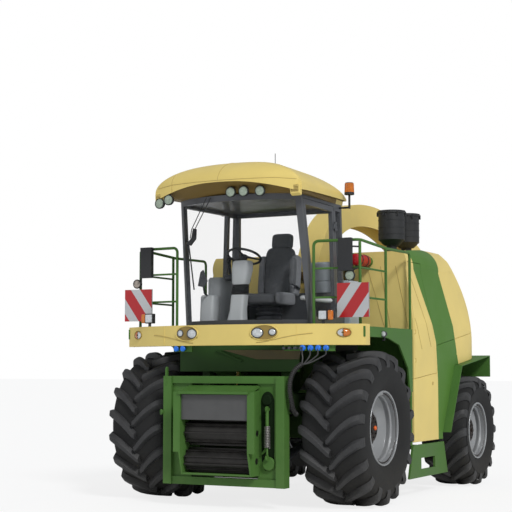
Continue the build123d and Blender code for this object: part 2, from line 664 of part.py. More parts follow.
def bumper_bar():
    """Bowed bar across the front, under the cab."""
    arc_r = 3000
    front_y, depth, half = -967, 105, 1600
    centre = front_y + arc_r
    ring = Pos(0, centre, 1986) * (Cylinder(arc_r, 242) - Cylinder(arc_r - depth, 244))
    return ring & block(-half, half, -1100, -300, 1800, 2200)


def bumper():
    bar = bumper_bar()
    for lamp in bumper_lamps(SEAT):
        bar = bar - lamp - mirror(lamp, about=Plane.YZ)
    return bar


def bumper_brackets():
    return [block(s * 560, s * 620, -830, -560, 1900, 1960) for s in (1, -1)]


def under_cab():
    """Carrier plate with the cab mounts, between the rails and the cab floor."""
    deck = block(-870, 870, -560, 900, 1960, 2049.7)
    legs = [block(s * RAIL_X, s * (RAIL_X + RAIL_W), -420, -330, RAIL_Z + RAIL_H + 30, 1960) for s in (1, -1)]
    back = [block(s * RAIL_X, s * (RAIL_X + RAIL_W), 640, 740, RAIL_Z + RAIL_H, 1960) for s in (1, -1)]
    apron = block(-800, 800, -600, -560, 1560, 2000)
    return joined([deck, *legs, *back, apron, *bumper_brackets()]) - bumper_bar()


def platform():
    """Walkway over the left front wheel, with its outer skirt and the wall behind the tyre."""
    skirt = side_face([(-520, DECK_Z), (DECK_REAR, DECK_Z), (DECK_REAR, 1310), (880, 1310), (820, 1600), (530, 1880),
                       (160, 1960), (-520, 1960)])
    pieces = [block(DECK_X, 1600, -520, DECK_REAR, DECK_Z - DECK, DECK_Z), across(skirt, 1575, 1600),
              block(RAILING_X - 145, RAILING_X - 32, DECK_REAR, LADDER_REAR, DECK_Z - DECK, DECK_Z),
              block(DECK_X, 1600, 940, 965, 1310, DECK_Z - DECK),
              block(870 + SEAT, 900, -520, 965, 1965, DECK_Z - DECK)]
    return joined(pieces) - bumper_bar()


def railing():
    """Tube rails round the left walkway."""
    r, bend = 17, 60
    out, front, back = RAILING_X, RAILING_FRONT, LADDER_REAR
    top = [(930, front - 50, DECK_Z), (930, front - 50, 3083), (out, front, 3083), (out, 430, 3040),
           (out - 15, back, 3050), (out - 15, back, LADDER_FOOT)]
    pieces = [pipe(top, r, bend)]
    for y, z in ((front, 3060), (370, 3040)):
        pieces.append(rod((out, y, DECK_Z), (out, y, z), r))
    for z in (2420, 2760):
        pieces += [rod((out, front, z), (out, 370, z), 12), rod((930, front - 50, z), (out, front, z), 12)]
    return joined(pieces)


def ladder():
    """Steps behind the left front wheel."""
    rail_x, outer_x = RAILING_X - 55, RAILING_X - 15 - 17
    pieces = [rod((rail_x, y, LADDER_FOOT - 60), (rail_x, y, DECK_Z - DECK), 16)
              for y in (LADDER_REAR - 190, LADDER_REAR)]
    pieces += [block(rail_x - 90, outer_x, LADDER_REAR - 190, LADDER_REAR, z, z + 25)
               for z in range(LADDER_FOOT - 40, 1800, 310)]
    return joined(pieces)


def side_step():
    """Low guard plate under the side door, with its slot."""
    plate = across(side_face([(1230, 640), (2340, 640), (2480, 230), (1090, 230)]), 1470, 1500)
    slot = across(side_face([(1500, 330), (2000, 330), (2000, 470), (1500, 470)]), 1460, 1510)
    tie = block(600, 1470, 1700, 1760, 560, 620)
    hanger = block(590, 650, 1700, 1760, 560, RAIL_Z + 10)
    return plate - slot + tie + hanger


def mirrors():
    head = Pos(1350, -500, 2910) * Box(160, 60, 380)
    arm = pipe([(RAILING_X, RAILING_FRONT, 3000), (1440, -480, 3000), (1380, -500, 2990)], 10, 30)
    return joined([head, arm]) - railing()


def warning_boards():
    board = Pos(1454, -520, 2380) * Box(BOARD, 20, BOARD)
    return (board + rod((RAILING_X, -515, 2380), (RAILING_X, RAILING_FRONT, 2380), 10)) - railing()


# Lamps let into the bumper, left side: place along X and Z, y of the middle, width, height
LampPlace = namedtuple("LampPlace", "x y z width height")
BUMPER_LAMPS = [LampPlace(430, -915, 2006, 150, 110), LampPlace(612, -885, 2012, 90, 80),
                LampPlace(1400, -620, 2006, 170, 90)]


def bumper_lamps(gap):
    return [Pos(lamp.x, lamp.y, lamp.z) * Box(lamp.width + 2 * gap, 60 + 2 * gap, lamp.height + 2 * gap)
            for lamp in BUMPER_LAMPS]


def square_lamp():
    """Position lamp standing on the bumper."""
    return block(1112, 1222, -740, -680, 2140, 2250) + block(1150, 1184, -730, -700, 2107, 2140)


def beacon():
    """Flashing lamp on a stem beside the roof's rear corner, on a bracket from the cab's post."""
    x, y = BEACON
    bracket = rod((700, y, 3600), (x, y, 3600), 12) - cab_volume(0)
    stem = rod((x, y, 3585), (x, y, 3770), 14)
    base = Pos(x, y, 3775) * Cylinder(62, 30)
    lamp = Pos(x, y, 3850) * Cylinder(50, 125)
    return joined([bracket, stem, base, lamp])


def equipment_cabinet():
    return block(300, 860, CAB_REAR + 40, CAB_REAR + 330, CAB_FLOOR - SEAT, 2700)


def hydraulic_couplers():
    panel = block(700, 980, -780, -740, 1800, 1865)
    plugs = [rod((x, -860, 1830), (x, -780, 1830), 16) for x in (730, 800, 870, 940)]
    return joined([panel, *plugs])


# Body over the engine

def corner_limit(angle, distance, inset):
    """Everything inside the curved flank that the body's corner has in one direction of the plan: upright
    to the waist, then drawn in on an arc and a slope up to the crown."""
    facing = Plane(origin=(0, 0, 0), x_dir=(cos(angle), sin(angle), 0), z_dir=(sin(angle), -cos(angle), 0))
    out = distance - inset
    waist, bend, shoulder, crown = [(out - drawn, z) for drawn, z in CORNER_TAPER]
    flank = [Line((-5000, 0), (out, 0)), Line((out, 0), waist), ThreePointArc(waist, bend, shoulder),
             Line(shoulder, crown), Line(crown, (-5000, HOOD_CROWN + 400)), Line((-5000, HOOD_CROWN + 400), (-5000, 0))]
    return extrude(facing * face_of(flank), 9000, both=True)


def hood_form(inset):
    """Outer form of the body as three outlines crossed, its rear corners drawn in upwards; made smaller by
    inset for the inside."""
    x, rear, front = HOOD_X - inset, HOOD_REAR - inset, HOOD_FRONT + inset
    corner = HOOD_CORNER - inset
    mid = corner * (1 - sqrt(0.5))
    plan = [Line((x, front), (x, rear - corner)),
            ThreePointArc((x, rear - corner), (x - mid, rear - mid), (x - corner, rear)),
            Line((x - corner, rear), (-x + corner, rear)),
            ThreePointArc((-x + corner, rear), (-x + mid, rear - mid), (-x, rear - corner)),
            Line((-x, rear - corner), (-x, front)), Line((-x, front), (x, front))]
    plan_body = upright(face_of(plan), HOOD_BOTTOM, HOOD_CROWN + 50)
    for turn in CORNER_TURNS:
        centre_x, centre_y = HOOD_X - HOOD_CORNER, HOOD_REAR - HOOD_CORNER
        distance = centre_x * cos(turn) + centre_y * sin(turn) + HOOD_CORNER
        limit = corner_limit(turn, distance, inset)
        plan_body = plan_body & limit & mirror(limit, about=Plane.YZ)
    top_x, waist = TOP_X - inset, HOOD_TOP - SHOULDER - 700
    shoulder = SHOULDER - inset
    top = HOOD_CROWN - inset
    edge_z = HOOD_TOP - shoulder
    section = [Line((x, HOOD_BOTTOM), (x, waist)), Line((x, waist), (top_x, edge_z)),
               ThreePointArc((top_x, edge_z), (top_x - shoulder * 0.3, edge_z + (top - edge_z) * 0.72),
                             (top_x - shoulder, top - 40)),
               ThreePointArc((top_x - shoulder, top - 40), (0, top), (-top_x + shoulder, top - 40)),
               ThreePointArc((-top_x + shoulder, top - 40), (-top_x + shoulder * 0.3, edge_z + (top - edge_z) * 0.72),
                             (-top_x, edge_z)),
               Line((-top_x, edge_z), (-x, waist)), Line((-x, waist), (-x, HOOD_BOTTOM)),
               Line((-x, HOOD_BOTTOM), (x, HOOD_BOTTOM))]
    section_body = along(face_of(section), HOOD_FRONT - 50, HOOD_REAR + 50)
    crest_y = HOOD_REAR - 1450
    side = [Line((front, HOOD_BOTTOM), (front, HOOD_TOP - 40 - inset)),
            Line((front, HOOD_TOP - 40 - inset), (crest_y, HOOD_CROWN + 20 - inset)),
            ThreePointArc((crest_y, HOOD_CROWN + 20 - inset), (rear - 370 + inset * 0.2, 2830 - inset * 0.5),
                          (rear, 1950)),
            Line((rear, 1950), (rear, HOOD_BOTTOM)), Line((rear, HOOD_BOTTOM), (front, HOOD_BOTTOM))]
    side_body = across(face_of(side), -HOOD_X - 50, HOOD_X + 50)
    return section_body & side_body & plan_body


def leaning(y_at, z_at, gap):
    """Everything in front of the leaning plane that passes through (y_at, z_at), as a prism."""
    y_low, y_high = y_at + BAND_LEAN * (z_at - 0) + gap, y_at - BAND_LEAN * (4000 - z_at) + gap
    return across(side_face([(0, 0), (y_low, 0), (y_high, 4000), (0, 4000)]), -2000, 2000)


def below_seam(shift):
    """Everything below the seam: low in front of the band, higher behind the band's front edge."""
    front_y, end_y = 1000, 5000
    start_z = SEAM_Z - SEAM_RISE * (BAND_FRONT - front_y) + shift
    end_z = REAR_SEAM_Z + REAR_SEAM_RISE * (end_y - BAND_FRONT) + shift
    return across(side_face([(front_y, 0), (end_y, 0), (end_y, end_z), (BAND_FRONT, REAR_SEAM_Z + shift),
                             (BAND_FRONT, SEAM_Z + shift), (front_y, start_z)]), -2000, 2000)


def wheel_space():
    """Room for the steered rear wheels, below the fender strips."""
    end = HOOD_REAR + 200
    rise = FENDER_Z + FENDER_RISE * (end - FENDER_BEND)
    return across(side_face([(FENDER_FRONT, 0), (FENDER_FRONT, FENDER_FOOT), (FENDER_BEND, FENDER_Z), (end, rise),
                             (end, 0)]), -2000, 2000)


def body_panels():
    shell = hood_form(0) - hood_form(HOOD_WALL)
    shell = shell - wheel_space()
    shell = shell - block(-HOOD_X, HOOD_X, 0, 6000, HOOD_BOTTOM - 1, HOOD_BOTTOM + HOOD_WALL)
    shell = shell - block(-690, 690, HOOD_FRONT - 100, 1900, HOOD_BOTTOM, 4000)
    shell = shell - block(-1150, 1150, HOOD_FRONT - 100, HOOD_FRONT + HOOD_WALL + 1, HOOD_BOTTOM, 2100)
    low = shell & below_seam(0)
    high = shell - below_seam(PANEL_GAP)
    skirts = low - block(-1150, 1150, 0, 6000, 0, 4000) - block(-2000, 2000, SKIRT_END, 6000, 0, 4000)
    rear_low = low & block(-2000, 2000, SKIRT_END + PANEL_GAP, 6000, 0, 4000)
    front_high = high & leaning(BAND_FRONT, BAND_FRONT_Z, -PANEL_GAP)
    front = HOOD_FRONT + HOOD_WALL
    door_band = leaning(BAND_FRONT, BAND_FRONT_Z, -PANEL_GAP) - block(
        -1250, 1250, 0, 6000, 0, 4000) - block(-2000, 2000, 0, 6000, DOOR_TOP, 4000) - block(
        -2000, 2000, 0, front + DOOR_FRONT_GAP, 0, 4000)
    doors = front_high & door_band
    door_room = leaning(BAND_FRONT, BAND_FRONT_Z, 0) - block(
        -1250 + PANEL_GAP, 1250 - PANEL_GAP, 0, 6000, 0, 4000) - block(
        -2000, 2000, 0, 6000, DOOR_TOP + PANEL_GAP, 4000) - block(-2000, 2000, 0, front, 0, 4000)
    hood = high - door_room
    for s in (1, -1):
        x, y = s * DOOR_HINGE_X, DOOR_HINGE_Y
        doors = doors - rod((x, y, DOOR_HINGE_Z[0] - 45), (x, y, DOOR_HINGE_Z[1] + 45), HINGE_PIN_R + RUNNING)
        for z in DOOR_HINGE_Z:
            doors = doors - block(x - 25, x + 25, y - 30, y + 27, z - 26, z + 26)
            lug = block(x - 14, x + 14, front, y + 14, z - 20, z + 20)
            hood = hood + lug + rod((x, y, z - 40), (x, y, z + 40), HINGE_PIN_R)
    return hood, doors, skirts, rear_low


def fender_strip():
    """Folded strip round the front and top of the left rear wheel, with its wall behind the tyre."""
    strip = 12
    rear_end = FENDER_END
    rear_z = FENDER_Z + FENDER_RISE * (rear_end - FENDER_BEND)
    outline = side_face([(FENDER_FRONT, FENDER_FOOT), (FENDER_BEND, FENDER_Z), (rear_end, rear_z),
                         (rear_end, rear_z - strip), (FENDER_BEND + 8, FENDER_Z - strip),
                         (FENDER_FRONT + strip, FENDER_FOOT)])
    top = across(outline, 1060, 1610)
    wall = block(1060, 1610, rear_end, rear_end + strip, 1480, rear_z)
    return top + wall


def rear_frame():
    """Cross beam and posts on the rails' ends, with the lugs that the grille door hangs on."""
    y0 = RAIL_REAR + 40
    back = y0 + REAR_BEAM
    pieces = [block(-960, 960, y0, back, 1190, 1250)]
    for s in (1, -1):
        pieces += [block(s * 905, s * 960, y0, back, 1190, GRILLE_TOP),
                   block(s * RAIL_X, s * (RAIL_X + RAIL_W), RAIL_REAR, y0, 1190, RAIL_Z + RAIL_H),
                   block(s * RAIL_X, s * (RAIL_X + RAIL_W), y0, back, 1190, GRILLE_TOP + 65),
                   block(s * RAIL_X, s * (RAIL_X + RAIL_W), back, HOOD_REAR, GRILLE_TOP + 25,
                         GRILLE_TOP + 65) & hood_form(HOOD_WALL)]
    for z in GRILLE_HINGE_Z:
        pieces += [block(GRILLE_HINGE_X - 15, 950, back, back + 38, z - 20, z + 20),
                   rod((GRILLE_HINGE_X, GRILLE_HINGE_Y, z - 40), (GRILLE_HINGE_X, GRILLE_HINGE_Y, z + 40), HINGE_PIN_R)]
    return joined(pieces)


def grille():
    """Slatted door in front of the coolers, hung on the left post."""
    y0 = RAIL_REAR + 40 + REAR_BEAM + SEAT
    frame = block(-900, 900, y0, y0 + 40, 1256, GRILLE_TOP) - block(-840, 840, y0 - 5, y0 + 45, 1316, GRILLE_TOP - 60)
    bars = [block(-850, 850, y0 + 6, y0 + 30, z, z + 16) for z in range(1336, GRILLE_TOP - 65, 44)]
    body = joined([frame, *bars])
    x, y = GRILLE_HINGE_X, GRILLE_HINGE_Y
    body = body - rod((x, y, GRILLE_HINGE_Z[0] - 45), (x, y, GRILLE_HINGE_Z[1] + 45), HINGE_PIN_R + RUNNING)
    for z in GRILLE_HINGE_Z:
        body = body - block(x - 30, x + 30, y - 40, y + 40, z - 26, z + 26)
    return body


def air_drums():
    """Two upright air cleaners on the hood: drum with a wider rim, cone below, foot on the hood."""
    drums, foot_z = [], HOOD_CROWN + 30
    for x, y in DRUM_PLACES:
        drum = Pos(x, y, foot_z + 70 + DRUM_H / 2) * Cylinder(DRUM_R, DRUM_H)
        rim_ring = Pos(x, y, foot_z + 70 + DRUM_H - 18) * Cylinder(DRUM_R + 12, 36)
        cone = Pos(x, y, foot_z + 35) * Cone(DRUM_R - 75, DRUM_R - 5, 70)
        foot = rod((x, y, HOOD_TOP - 60), (x, y, foot_z + 5), 70) - hood_form(0)
        drums.append(joined([drum, rim_ring, cone, foot]))
    return drums


# Spout

def spout_outline(inset):
    """Side outline of the spout: a band of even depth round its middle line."""
    up, down = [], []
    line = SPOUT_LINE
    for i, (y, z) in enumerate(line):
        y0, z0 = line[max(i - 1, 0)]
        y1, z1 = line[min(i + 1, len(line) - 1)]
        length = hypot(y1 - y0, z1 - z0)
        ny, nz = -(z1 - z0) / length, (y1 - y0) / length
        half = SPOUT_D / 2
        up.append((y + ny * (half - inset), z + nz * (half - inset)))
        down.append((y - ny * (half + 2 * inset), z - nz * (half + 2 * inset)))
    edges = Spline(*up), Line(up[-1], down[-1]), Spline(*reversed(down)), Line(down[0], up[0])
    return face_of(edges)


def spout_end():
    """The spout's last point, the direction it points in and the direction out of its top."""
    (y0, z0), (y1, z1) = SPOUT_LINE[-2:]
    length = hypot(y1 - y0, z1 - z0)
    return Vector(0, y1, z1), Vector(0, (y1 - y0) / length, (z1 - z0) / length), Vector(
        0, -(z1 - z0) / length, (y1 - y0) / length)


def x_bar(x0, x1, place, radius):
    """A round bar along X at a place (y, z)."""
    return rod((x0, *place), (x1, *place), radius)


def flap_hinge():
    tip, ahead, out = spout_end()
    centre = tip + ahead * 26 + out * (SPOUT_D / 2 - 22)
    return centre.Y, centre.Z


def spout():
    half = SPOUT_W / 2
    body = across(spout_outline(0), -half, half)
    hollow = across(spout_outline(SPOUT_WALL), -half + SPOUT_WALL, half - SPOUT_WALL)
    body = body - (hollow & block(-1000, 1000, OPEN_FROM_Y, 7000, 0, 5000))
    body = body - x_bar(-half - 1, half + 1, SPOUT_PIVOT, SPOUT_PIN_R + RUNNING)
    tip, ahead, out = spout_end()
    y, z = flap_hinge()
    for s in (1, -1):
        lug = Plane(origin=(s * (half - SPOUT_WALL / 2), y, z), x_dir=(1, 0, 0), z_dir=(0, ahead.Y, ahead.Z))
        body = body + lug * (Pos(0, 0, -18) * Box(SPOUT_WALL, 44, 80))
    body = body + x_bar(-half + 2, half - 2, (y, z), FLAP_PIN_R)
    pin = x_bar(-half + 2, -CYLINDER_X - 28, SPOUT_EYE, SPOUT_EYE_R)
    return body + pin


def spout_flap():
    """Plate with side cheeks that bends the stream down at the end of the spout."""
    tip, ahead, out = spout_end()
    y, z = flap_hinge()
    half = SPOUT_W / 2 - SPOUT_WALL - 6
    frame = Plane(origin=(0, y, z), x_dir=(1, 0, 0), z_dir=(0, ahead.Y, ahead.Z))
    length = (SPOUT_TIP_Y - y) / ahead.Y - 6
    plate = frame * (Pos(0, 0, length / 2 + 10) * Box(2 * half, 12, length - 20))
    cheeks = [frame * (Pos(s * (half - 4), 50, length / 2 + 26) * Box(8, 100, length - 52)) for s in (1, -1)]
    sleeve = x_bar(-half, half, (y, z), 21)
    return joined([plate, *cheeks, sleeve]) - x_bar(-half - 1, half + 1, (y, z), FLAP_PIN_R + RUNNING)


def spout_turret():
    """Slewing ring with the duct's elbow and the two ears of the lift hinge."""
    half = SPOUT_W / 2
    base = TURRET_Z + SEAT
    ring = Pos(0, TURRET_Y, base + 40) * Cylinder(TURRET_R, 80)
    neck = block(-190, 190, TURRET_Y - 120, TURRET_Y + 220, base + 60, NECK_TOP)
    y, z = SPOUT_PIVOT
    ears = [block(s * (half + 5), s * (half + 30), y - 60, y + 60, NECK_TOP - 40, z + 50) for s in (1, -1)]
    pin = x_bar(-half - 20, half + 20, SPOUT_PIVOT, SPOUT_PIN_R)
    fy, fz = SPOUT_FOOT
    lug = block(-206, -180, fy - 60, fy + 30, fz - 45, fz + 70)
    foot_pin = x_bar(-200, -CYLINDER_X - 28, SPOUT_FOOT, SPOUT_EYE_R)
    return joined([ring, neck, *ears, pin, lug, foot_pin])


def spout_cylinder_line():
    (y0, z0), (y1, z1) = SPOUT_FOOT, SPOUT_EYE
    length = hypot(y1 - y0, z1 - z0)
    return Vector(-CYLINDER_X, y0, z0), Vector(-CYLINDER_X, y1, z1), Vector(
        0, (y1 - y0) / length, (z1 - z0) / length), length


def spout_cylinder():
    foot, tip, d, length = spout_cylinder_line()
    body = rod(foot + d * 40, foot + d * (length * 0.6), 28) + rod(foot + d * 22, foot + d * 41, 18) + x_bar(
        -CYLINDER_X - 20, -CYLINDER_X + 20, SPOUT_FOOT, 30)
    body = body - x_bar(-CYLINDER_X - 25, -CYLINDER_X + 25, SPOUT_FOOT, SPOUT_EYE_R + RUNNING)
    return body - rod(foot + d * 90, foot + d * (length * 0.6 + 5), 15 + RUNNING)


def spout_rod():
    foot, tip, d, length = spout_cylinder_line()
    body = rod(foot + d * (length * 0.4), tip - d * 22, 15) + x_bar(
        -CYLINDER_X - 20, -CYLINDER_X + 20, SPOUT_EYE, 30)
    return body - x_bar(-CYLINDER_X - 25, -CYLINDER_X + 25, SPOUT_EYE, SPOUT_EYE_R + 6)


os.makedirs("parts", exist_ok=True)
wheels()
save("chassis_frame", chassis_frame())
save("cross_members", cross_members())
save("body_arms", body_arms())
save("front_axle", joined([front_axle(), lift_brackets(), mirror(lift_brackets(), about=Plane.YZ)]))
save("rear_axle", rear_axle())
for side, sign in sides.items():
    save(f"steering_knuckle_{side}", on_side(knuckle(), sign))
save("tie_rod", tie_rod())
save("engine_block", engine_block())
save("chopper_housing", chopper_housing())
save("feeder_frame", feeder_frame())
save("feeder_shield", feeder_shield())
for name, roll in FEED_ROLLS.items():
    save(name, feed_roll(roll))
save("lift_cylinders", lift_cylinders())
save("lift_rods", lift_rods())
cab()
save("cab_roof", cab_roof())
save("antenna", antenna())
save("seat", seat())
save("steering_column", steering_column())
save("cab_consoles", cab_consoles())
save("cab_carrier", under_cab())
save("bumper", bumper())
save("platforms", both(platform()))
save("railings", both(railing()))
save("ladder", ladder())
save("side_steps", both(side_step()))
save("mirrors", both(mirrors()))
save("warning_boards", both(warning_boards()))
save("lamps", apart([shape for lamp in [*bumper_lamps(0), square_lamp()] for shape in both(lamp).solids()]))
save("beacons", both(beacon()))
save("equipment_cabinet", equipment_cabinet())
save("hydraulic_couplers", hydraulic_couplers())
hood, doors, skirts, rear_low = body_panels()
save("hood", hood)
for side, sign in sides.items():
    save(f"side_door_{side}", apart([s for s in doors.solids() if s.center().X * sign > 0]))
save("side_skirts", skirts)
save("lower_hood", rear_low)
save("rear_fenders", both(fender_strip()))
save("rear_grille", grille())
save("rear_frame", rear_frame())
save("air_drums", apart(air_drums()))
save("spout_turret", spout_turret())
save("spout", spout())
save("spout_flap", spout_flap())
save("spout_cylinder", spout_cylinder())
save("spout_rod", spout_rod())
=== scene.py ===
import json
from math import pi, radians
import bmesh
import bpy
import numpy as np
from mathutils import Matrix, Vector
from mathutils.bvhtree import BVHTree

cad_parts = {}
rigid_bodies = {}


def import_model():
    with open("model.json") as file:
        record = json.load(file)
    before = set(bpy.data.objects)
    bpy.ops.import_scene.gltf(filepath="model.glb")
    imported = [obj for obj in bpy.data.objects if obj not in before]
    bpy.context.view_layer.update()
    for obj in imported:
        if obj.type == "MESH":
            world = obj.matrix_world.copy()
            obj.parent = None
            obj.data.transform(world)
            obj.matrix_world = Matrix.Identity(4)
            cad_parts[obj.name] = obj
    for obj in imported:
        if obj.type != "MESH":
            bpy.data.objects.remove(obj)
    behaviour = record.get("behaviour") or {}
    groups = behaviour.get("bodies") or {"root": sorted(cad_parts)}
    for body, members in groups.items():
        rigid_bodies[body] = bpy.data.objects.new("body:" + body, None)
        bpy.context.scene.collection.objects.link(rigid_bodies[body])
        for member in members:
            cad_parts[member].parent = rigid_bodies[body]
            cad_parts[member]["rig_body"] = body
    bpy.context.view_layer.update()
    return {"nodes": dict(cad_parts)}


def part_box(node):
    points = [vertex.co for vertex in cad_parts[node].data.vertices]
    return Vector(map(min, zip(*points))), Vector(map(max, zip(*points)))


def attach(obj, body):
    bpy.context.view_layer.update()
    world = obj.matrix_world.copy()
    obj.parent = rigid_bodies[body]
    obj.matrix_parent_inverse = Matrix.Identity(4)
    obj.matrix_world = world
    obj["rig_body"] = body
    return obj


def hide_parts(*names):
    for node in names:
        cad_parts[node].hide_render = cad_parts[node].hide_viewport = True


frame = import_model()
axle_y = sum(corner[1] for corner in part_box("front_rim_left")) / 2

# ----------------------------
# Camera: far ahead of the machine and to its left, at a standing person's eye height, with a
# long lens, so the front and the left side both show.
camera = bpy.data.objects.new("camera", bpy.data.cameras.new("camera"))
camera.data.sensor_fit, camera.data.sensor_width, camera.data.lens = "HORIZONTAL", 36, 93.04
camera.data.clip_end = 400
camera.location = (7.514, -16.4775, 1.597)
camera.rotation_euler = (radians(94.862), 0, radians(27.755))
bpy.context.scene.collection.objects.link(camera)
bpy.context.scene.camera = camera

# ----------------------------
# Studio: a broad soft sun from the front left of the machine, a weak one from its right, an even
# sky, and a white floor that runs out into a white surround and keeps the shadow.
bpy.context.scene.view_settings.view_transform = "Standard"


def sun(name, towards, strength, softness):
    """A sun lamp that shines from the direction `towards`, its disc `softness` degrees wide."""
    lamp = bpy.data.lights.new(name, "SUN")
    lamp.energy, lamp.angle = strength, radians(softness)
    holder = bpy.data.objects.new(name, lamp)
    x, y, z = towards
    holder.rotation_euler = (np.arctan2(np.hypot(x, y), z), 0, np.arctan2(x, -y))
    bpy.context.scene.collection.objects.link(holder)


sun("main_sun", (0.74, -0.56, 0.74), 1.75, 12)
sun("fill_sun", (-0.6, -0.8, 0.3), 0.15, 40)

sky = bpy.data.worlds.new("sky")
bpy.context.scene.world = sky
sky.use_nodes = True
node, link = sky.node_tree.nodes, sky.node_tree.links.new
seen_white, even_light = node["Background"], node.new("ShaderNodeBackground")
chosen = node.new("ShaderNodeMixShader")
seen_white.inputs["Color"].default_value = (1, 1, 1, 1)
even_light.inputs["Color"].default_value = (0.93, 0.96, 1, 1)
even_light.inputs["Strength"].default_value = 0.42
path = node.new("ShaderNodeLightPath")
straight = node.new("ShaderNodeMath")
straight.operation = "MAXIMUM"
link(path.outputs["Is Camera Ray"], straight.inputs[0])
link(path.outputs["Is Transmission Ray"], straight.inputs[1])
link(straight.outputs[0], chosen.inputs["Fac"])
link(even_light.outputs[0], chosen.inputs[1])
link(seen_white.outputs[0], chosen.inputs[2])
link(chosen.outputs[0], node["World Output"].inputs["Surface"])

floor_mesh = bpy.data.meshes.new("floor")
floor_mesh.from_pydata([(-150, -150, 0), (150, -150, 0), (150, 150, 0), (-150, 150, 0)], [], [(0, 1, 2, 3)])
floor = bpy.data.objects.new("floor", floor_mesh)
bpy.context.scene.collection.objects.link(floor)
floor_paint = bpy.data.materials.new("floor_white")
floor_paint.use_nodes = True
node, link = floor_paint.node_tree.nodes, floor_paint.node_tree.links.new
matt = node["Principled BSDF"]
matt.inputs["Base Color"].default_value = (0.98, 0.98, 0.98, 1)
matt.inputs["Roughness"].default_value = 0.9
matt.inputs["Specular IOR Level"].default_value = 0.1
glow, blend = node.new("ShaderNodeEmission"), node.new("ShaderNodeMixShader")
glow.inputs["Color"].default_value = (1, 1, 1, 1)
path, share = node.new("ShaderNodeLightPath"), node.new("ShaderNodeMath")
share.operation, share.inputs[1].default_value = "MULTIPLY", 0.8
link(path.outputs["Is Camera Ray"], share.inputs[0])
link(share.outputs[0], blend.inputs["Fac"])
link(matt.outputs[0], blend.inputs[1])
link(glow.outputs[0], blend.inputs[2])
link(blend.outputs[0], node["Material Output"].inputs["Surface"])
floor_mesh.materials.append(floor_paint)

# ----------------------------
# Finishes of the painted steel: a cream-yellow and a mid green gloss coat, a dark satin coat on
# the cab's frame. All are sprayed, slightly uneven, and dusty towards the ground.


def linear(r, g, b):
    """A display colour of 0 to 255 as the linear colour that the shader takes."""
    c = np.array([r, g, b]) / 255
    return tuple(np.where(c <= 0.04045, c / 12.92, ((c + 0.055) / 1.055) ** 2.4)) + (1.0,)


def maths(node, link, operation, *values):
    """One step of arithmetic on sockets and numbers."""
    step = node.new("ShaderNodeMath")
    step.operation = operation
    for socket, value in zip(step.inputs, values):
        if isinstance(value, (int, float)):
            socket.default_value = value
        else:
            link(value, socket)
    return step.outputs[0]


def finish(name, colour, rough=0.45, metal=0.0, coat=0.0, uneven=0.06, patch=2.5, grain=0.0, grain_scale=400,
           dust=0.0, dust_top=1.6, specular=0.5, second=None, where=None):
    """A shader whose colour wanders by `uneven` over patches of 1/patch metres, whose gloss wanders with
    it, with a fine bump of strength `grain`, and with dust that thins out from the ground to dust_top.
    A second colour covers the places where `where` gives 1."""
    made = bpy.data.materials.new(name)
    made.use_nodes = True
    node, link = made.node_tree.nodes, made.node_tree.links.new
    shader, place = node["Principled BSDF"], node.new("ShaderNodeTexCoord").outputs["Object"]

    def noise(scale, detail=3):
        cloud = node.new("ShaderNodeTexNoise")
        cloud.inputs["Scale"].default_value, cloud.inputs["Detail"].default_value = scale, detail
        link(place, cloud.inputs["Vector"])
        return cloud.outputs["Fac"]

    def spread(value, low, high, to_low, to_high):
        remap = node.new("ShaderNodeMapRange")
        for socket, number in zip(("From Min", "From Max", "To Min", "To Max"), (low, high, to_low, to_high)):
            remap.inputs[socket].default_value = number
        link(value, remap.inputs["Value"])
        return remap.outputs["Result"]

    def mixed(share, first, second):
        mix = node.new("ShaderNodeMix")
        mix.data_type = "RGBA"
        for socket, value in ((mix.inputs[6], first), (mix.inputs[7], second)):
            if isinstance(value, tuple):
                socket.default_value = value
            else:
                link(value, socket)
        link(share, mix.inputs[0])
        return mix.outputs[2]

    base = linear(*colour)
    dark = tuple(c * (1 - uneven) for c in base[:3]) + (1.0,)
    light = tuple(min(c * (1 + uneven), 1) for c in base[:3]) + (1.0,)
    cloud = noise(patch, 5)
    look = mixed(spread(cloud, 0.35, 0.65, 0, 1), dark, light)
    if second:
        look = mixed(where(node, link, place), look, linear(*second))
    if dust:
        split = node.new("ShaderNodeSeparateXYZ")
        link(place, split.inputs[0])
        height = spread(split.outputs["Z"], 0, dust_top, dust, 0)
        clouds = spread(noise(patch * 4, 6), 0.3, 0.7, 0.35, 1)
        look = mixed(maths(node, link, "MULTIPLY", height, clouds), look, linear(150, 138, 112))
    link(look, shader.inputs["Base Color"])
    link(spread(cloud, 0.3, 0.7, rough - 0.06, rough + 0.08), shader.inputs["Roughness"])
    shader.inputs["Metallic"].default_value = metal
    shader.inputs["Coat Weight"].default_value = coat
    shader.inputs["Coat Roughness"].default_value = 0.12
    shader.inputs["Specular IOR Level"].default_value = specular
    if grain:
        bump = node.new("ShaderNodeBump")
        bump.inputs["Strength"].default_value, bump.inputs["Distance"].default_value = grain, 0.002
        link(noise(grain_scale, 2), bump.inputs["Height"])
        link(bump.outputs["Normal"], shader.inputs["Normal"])
    return made


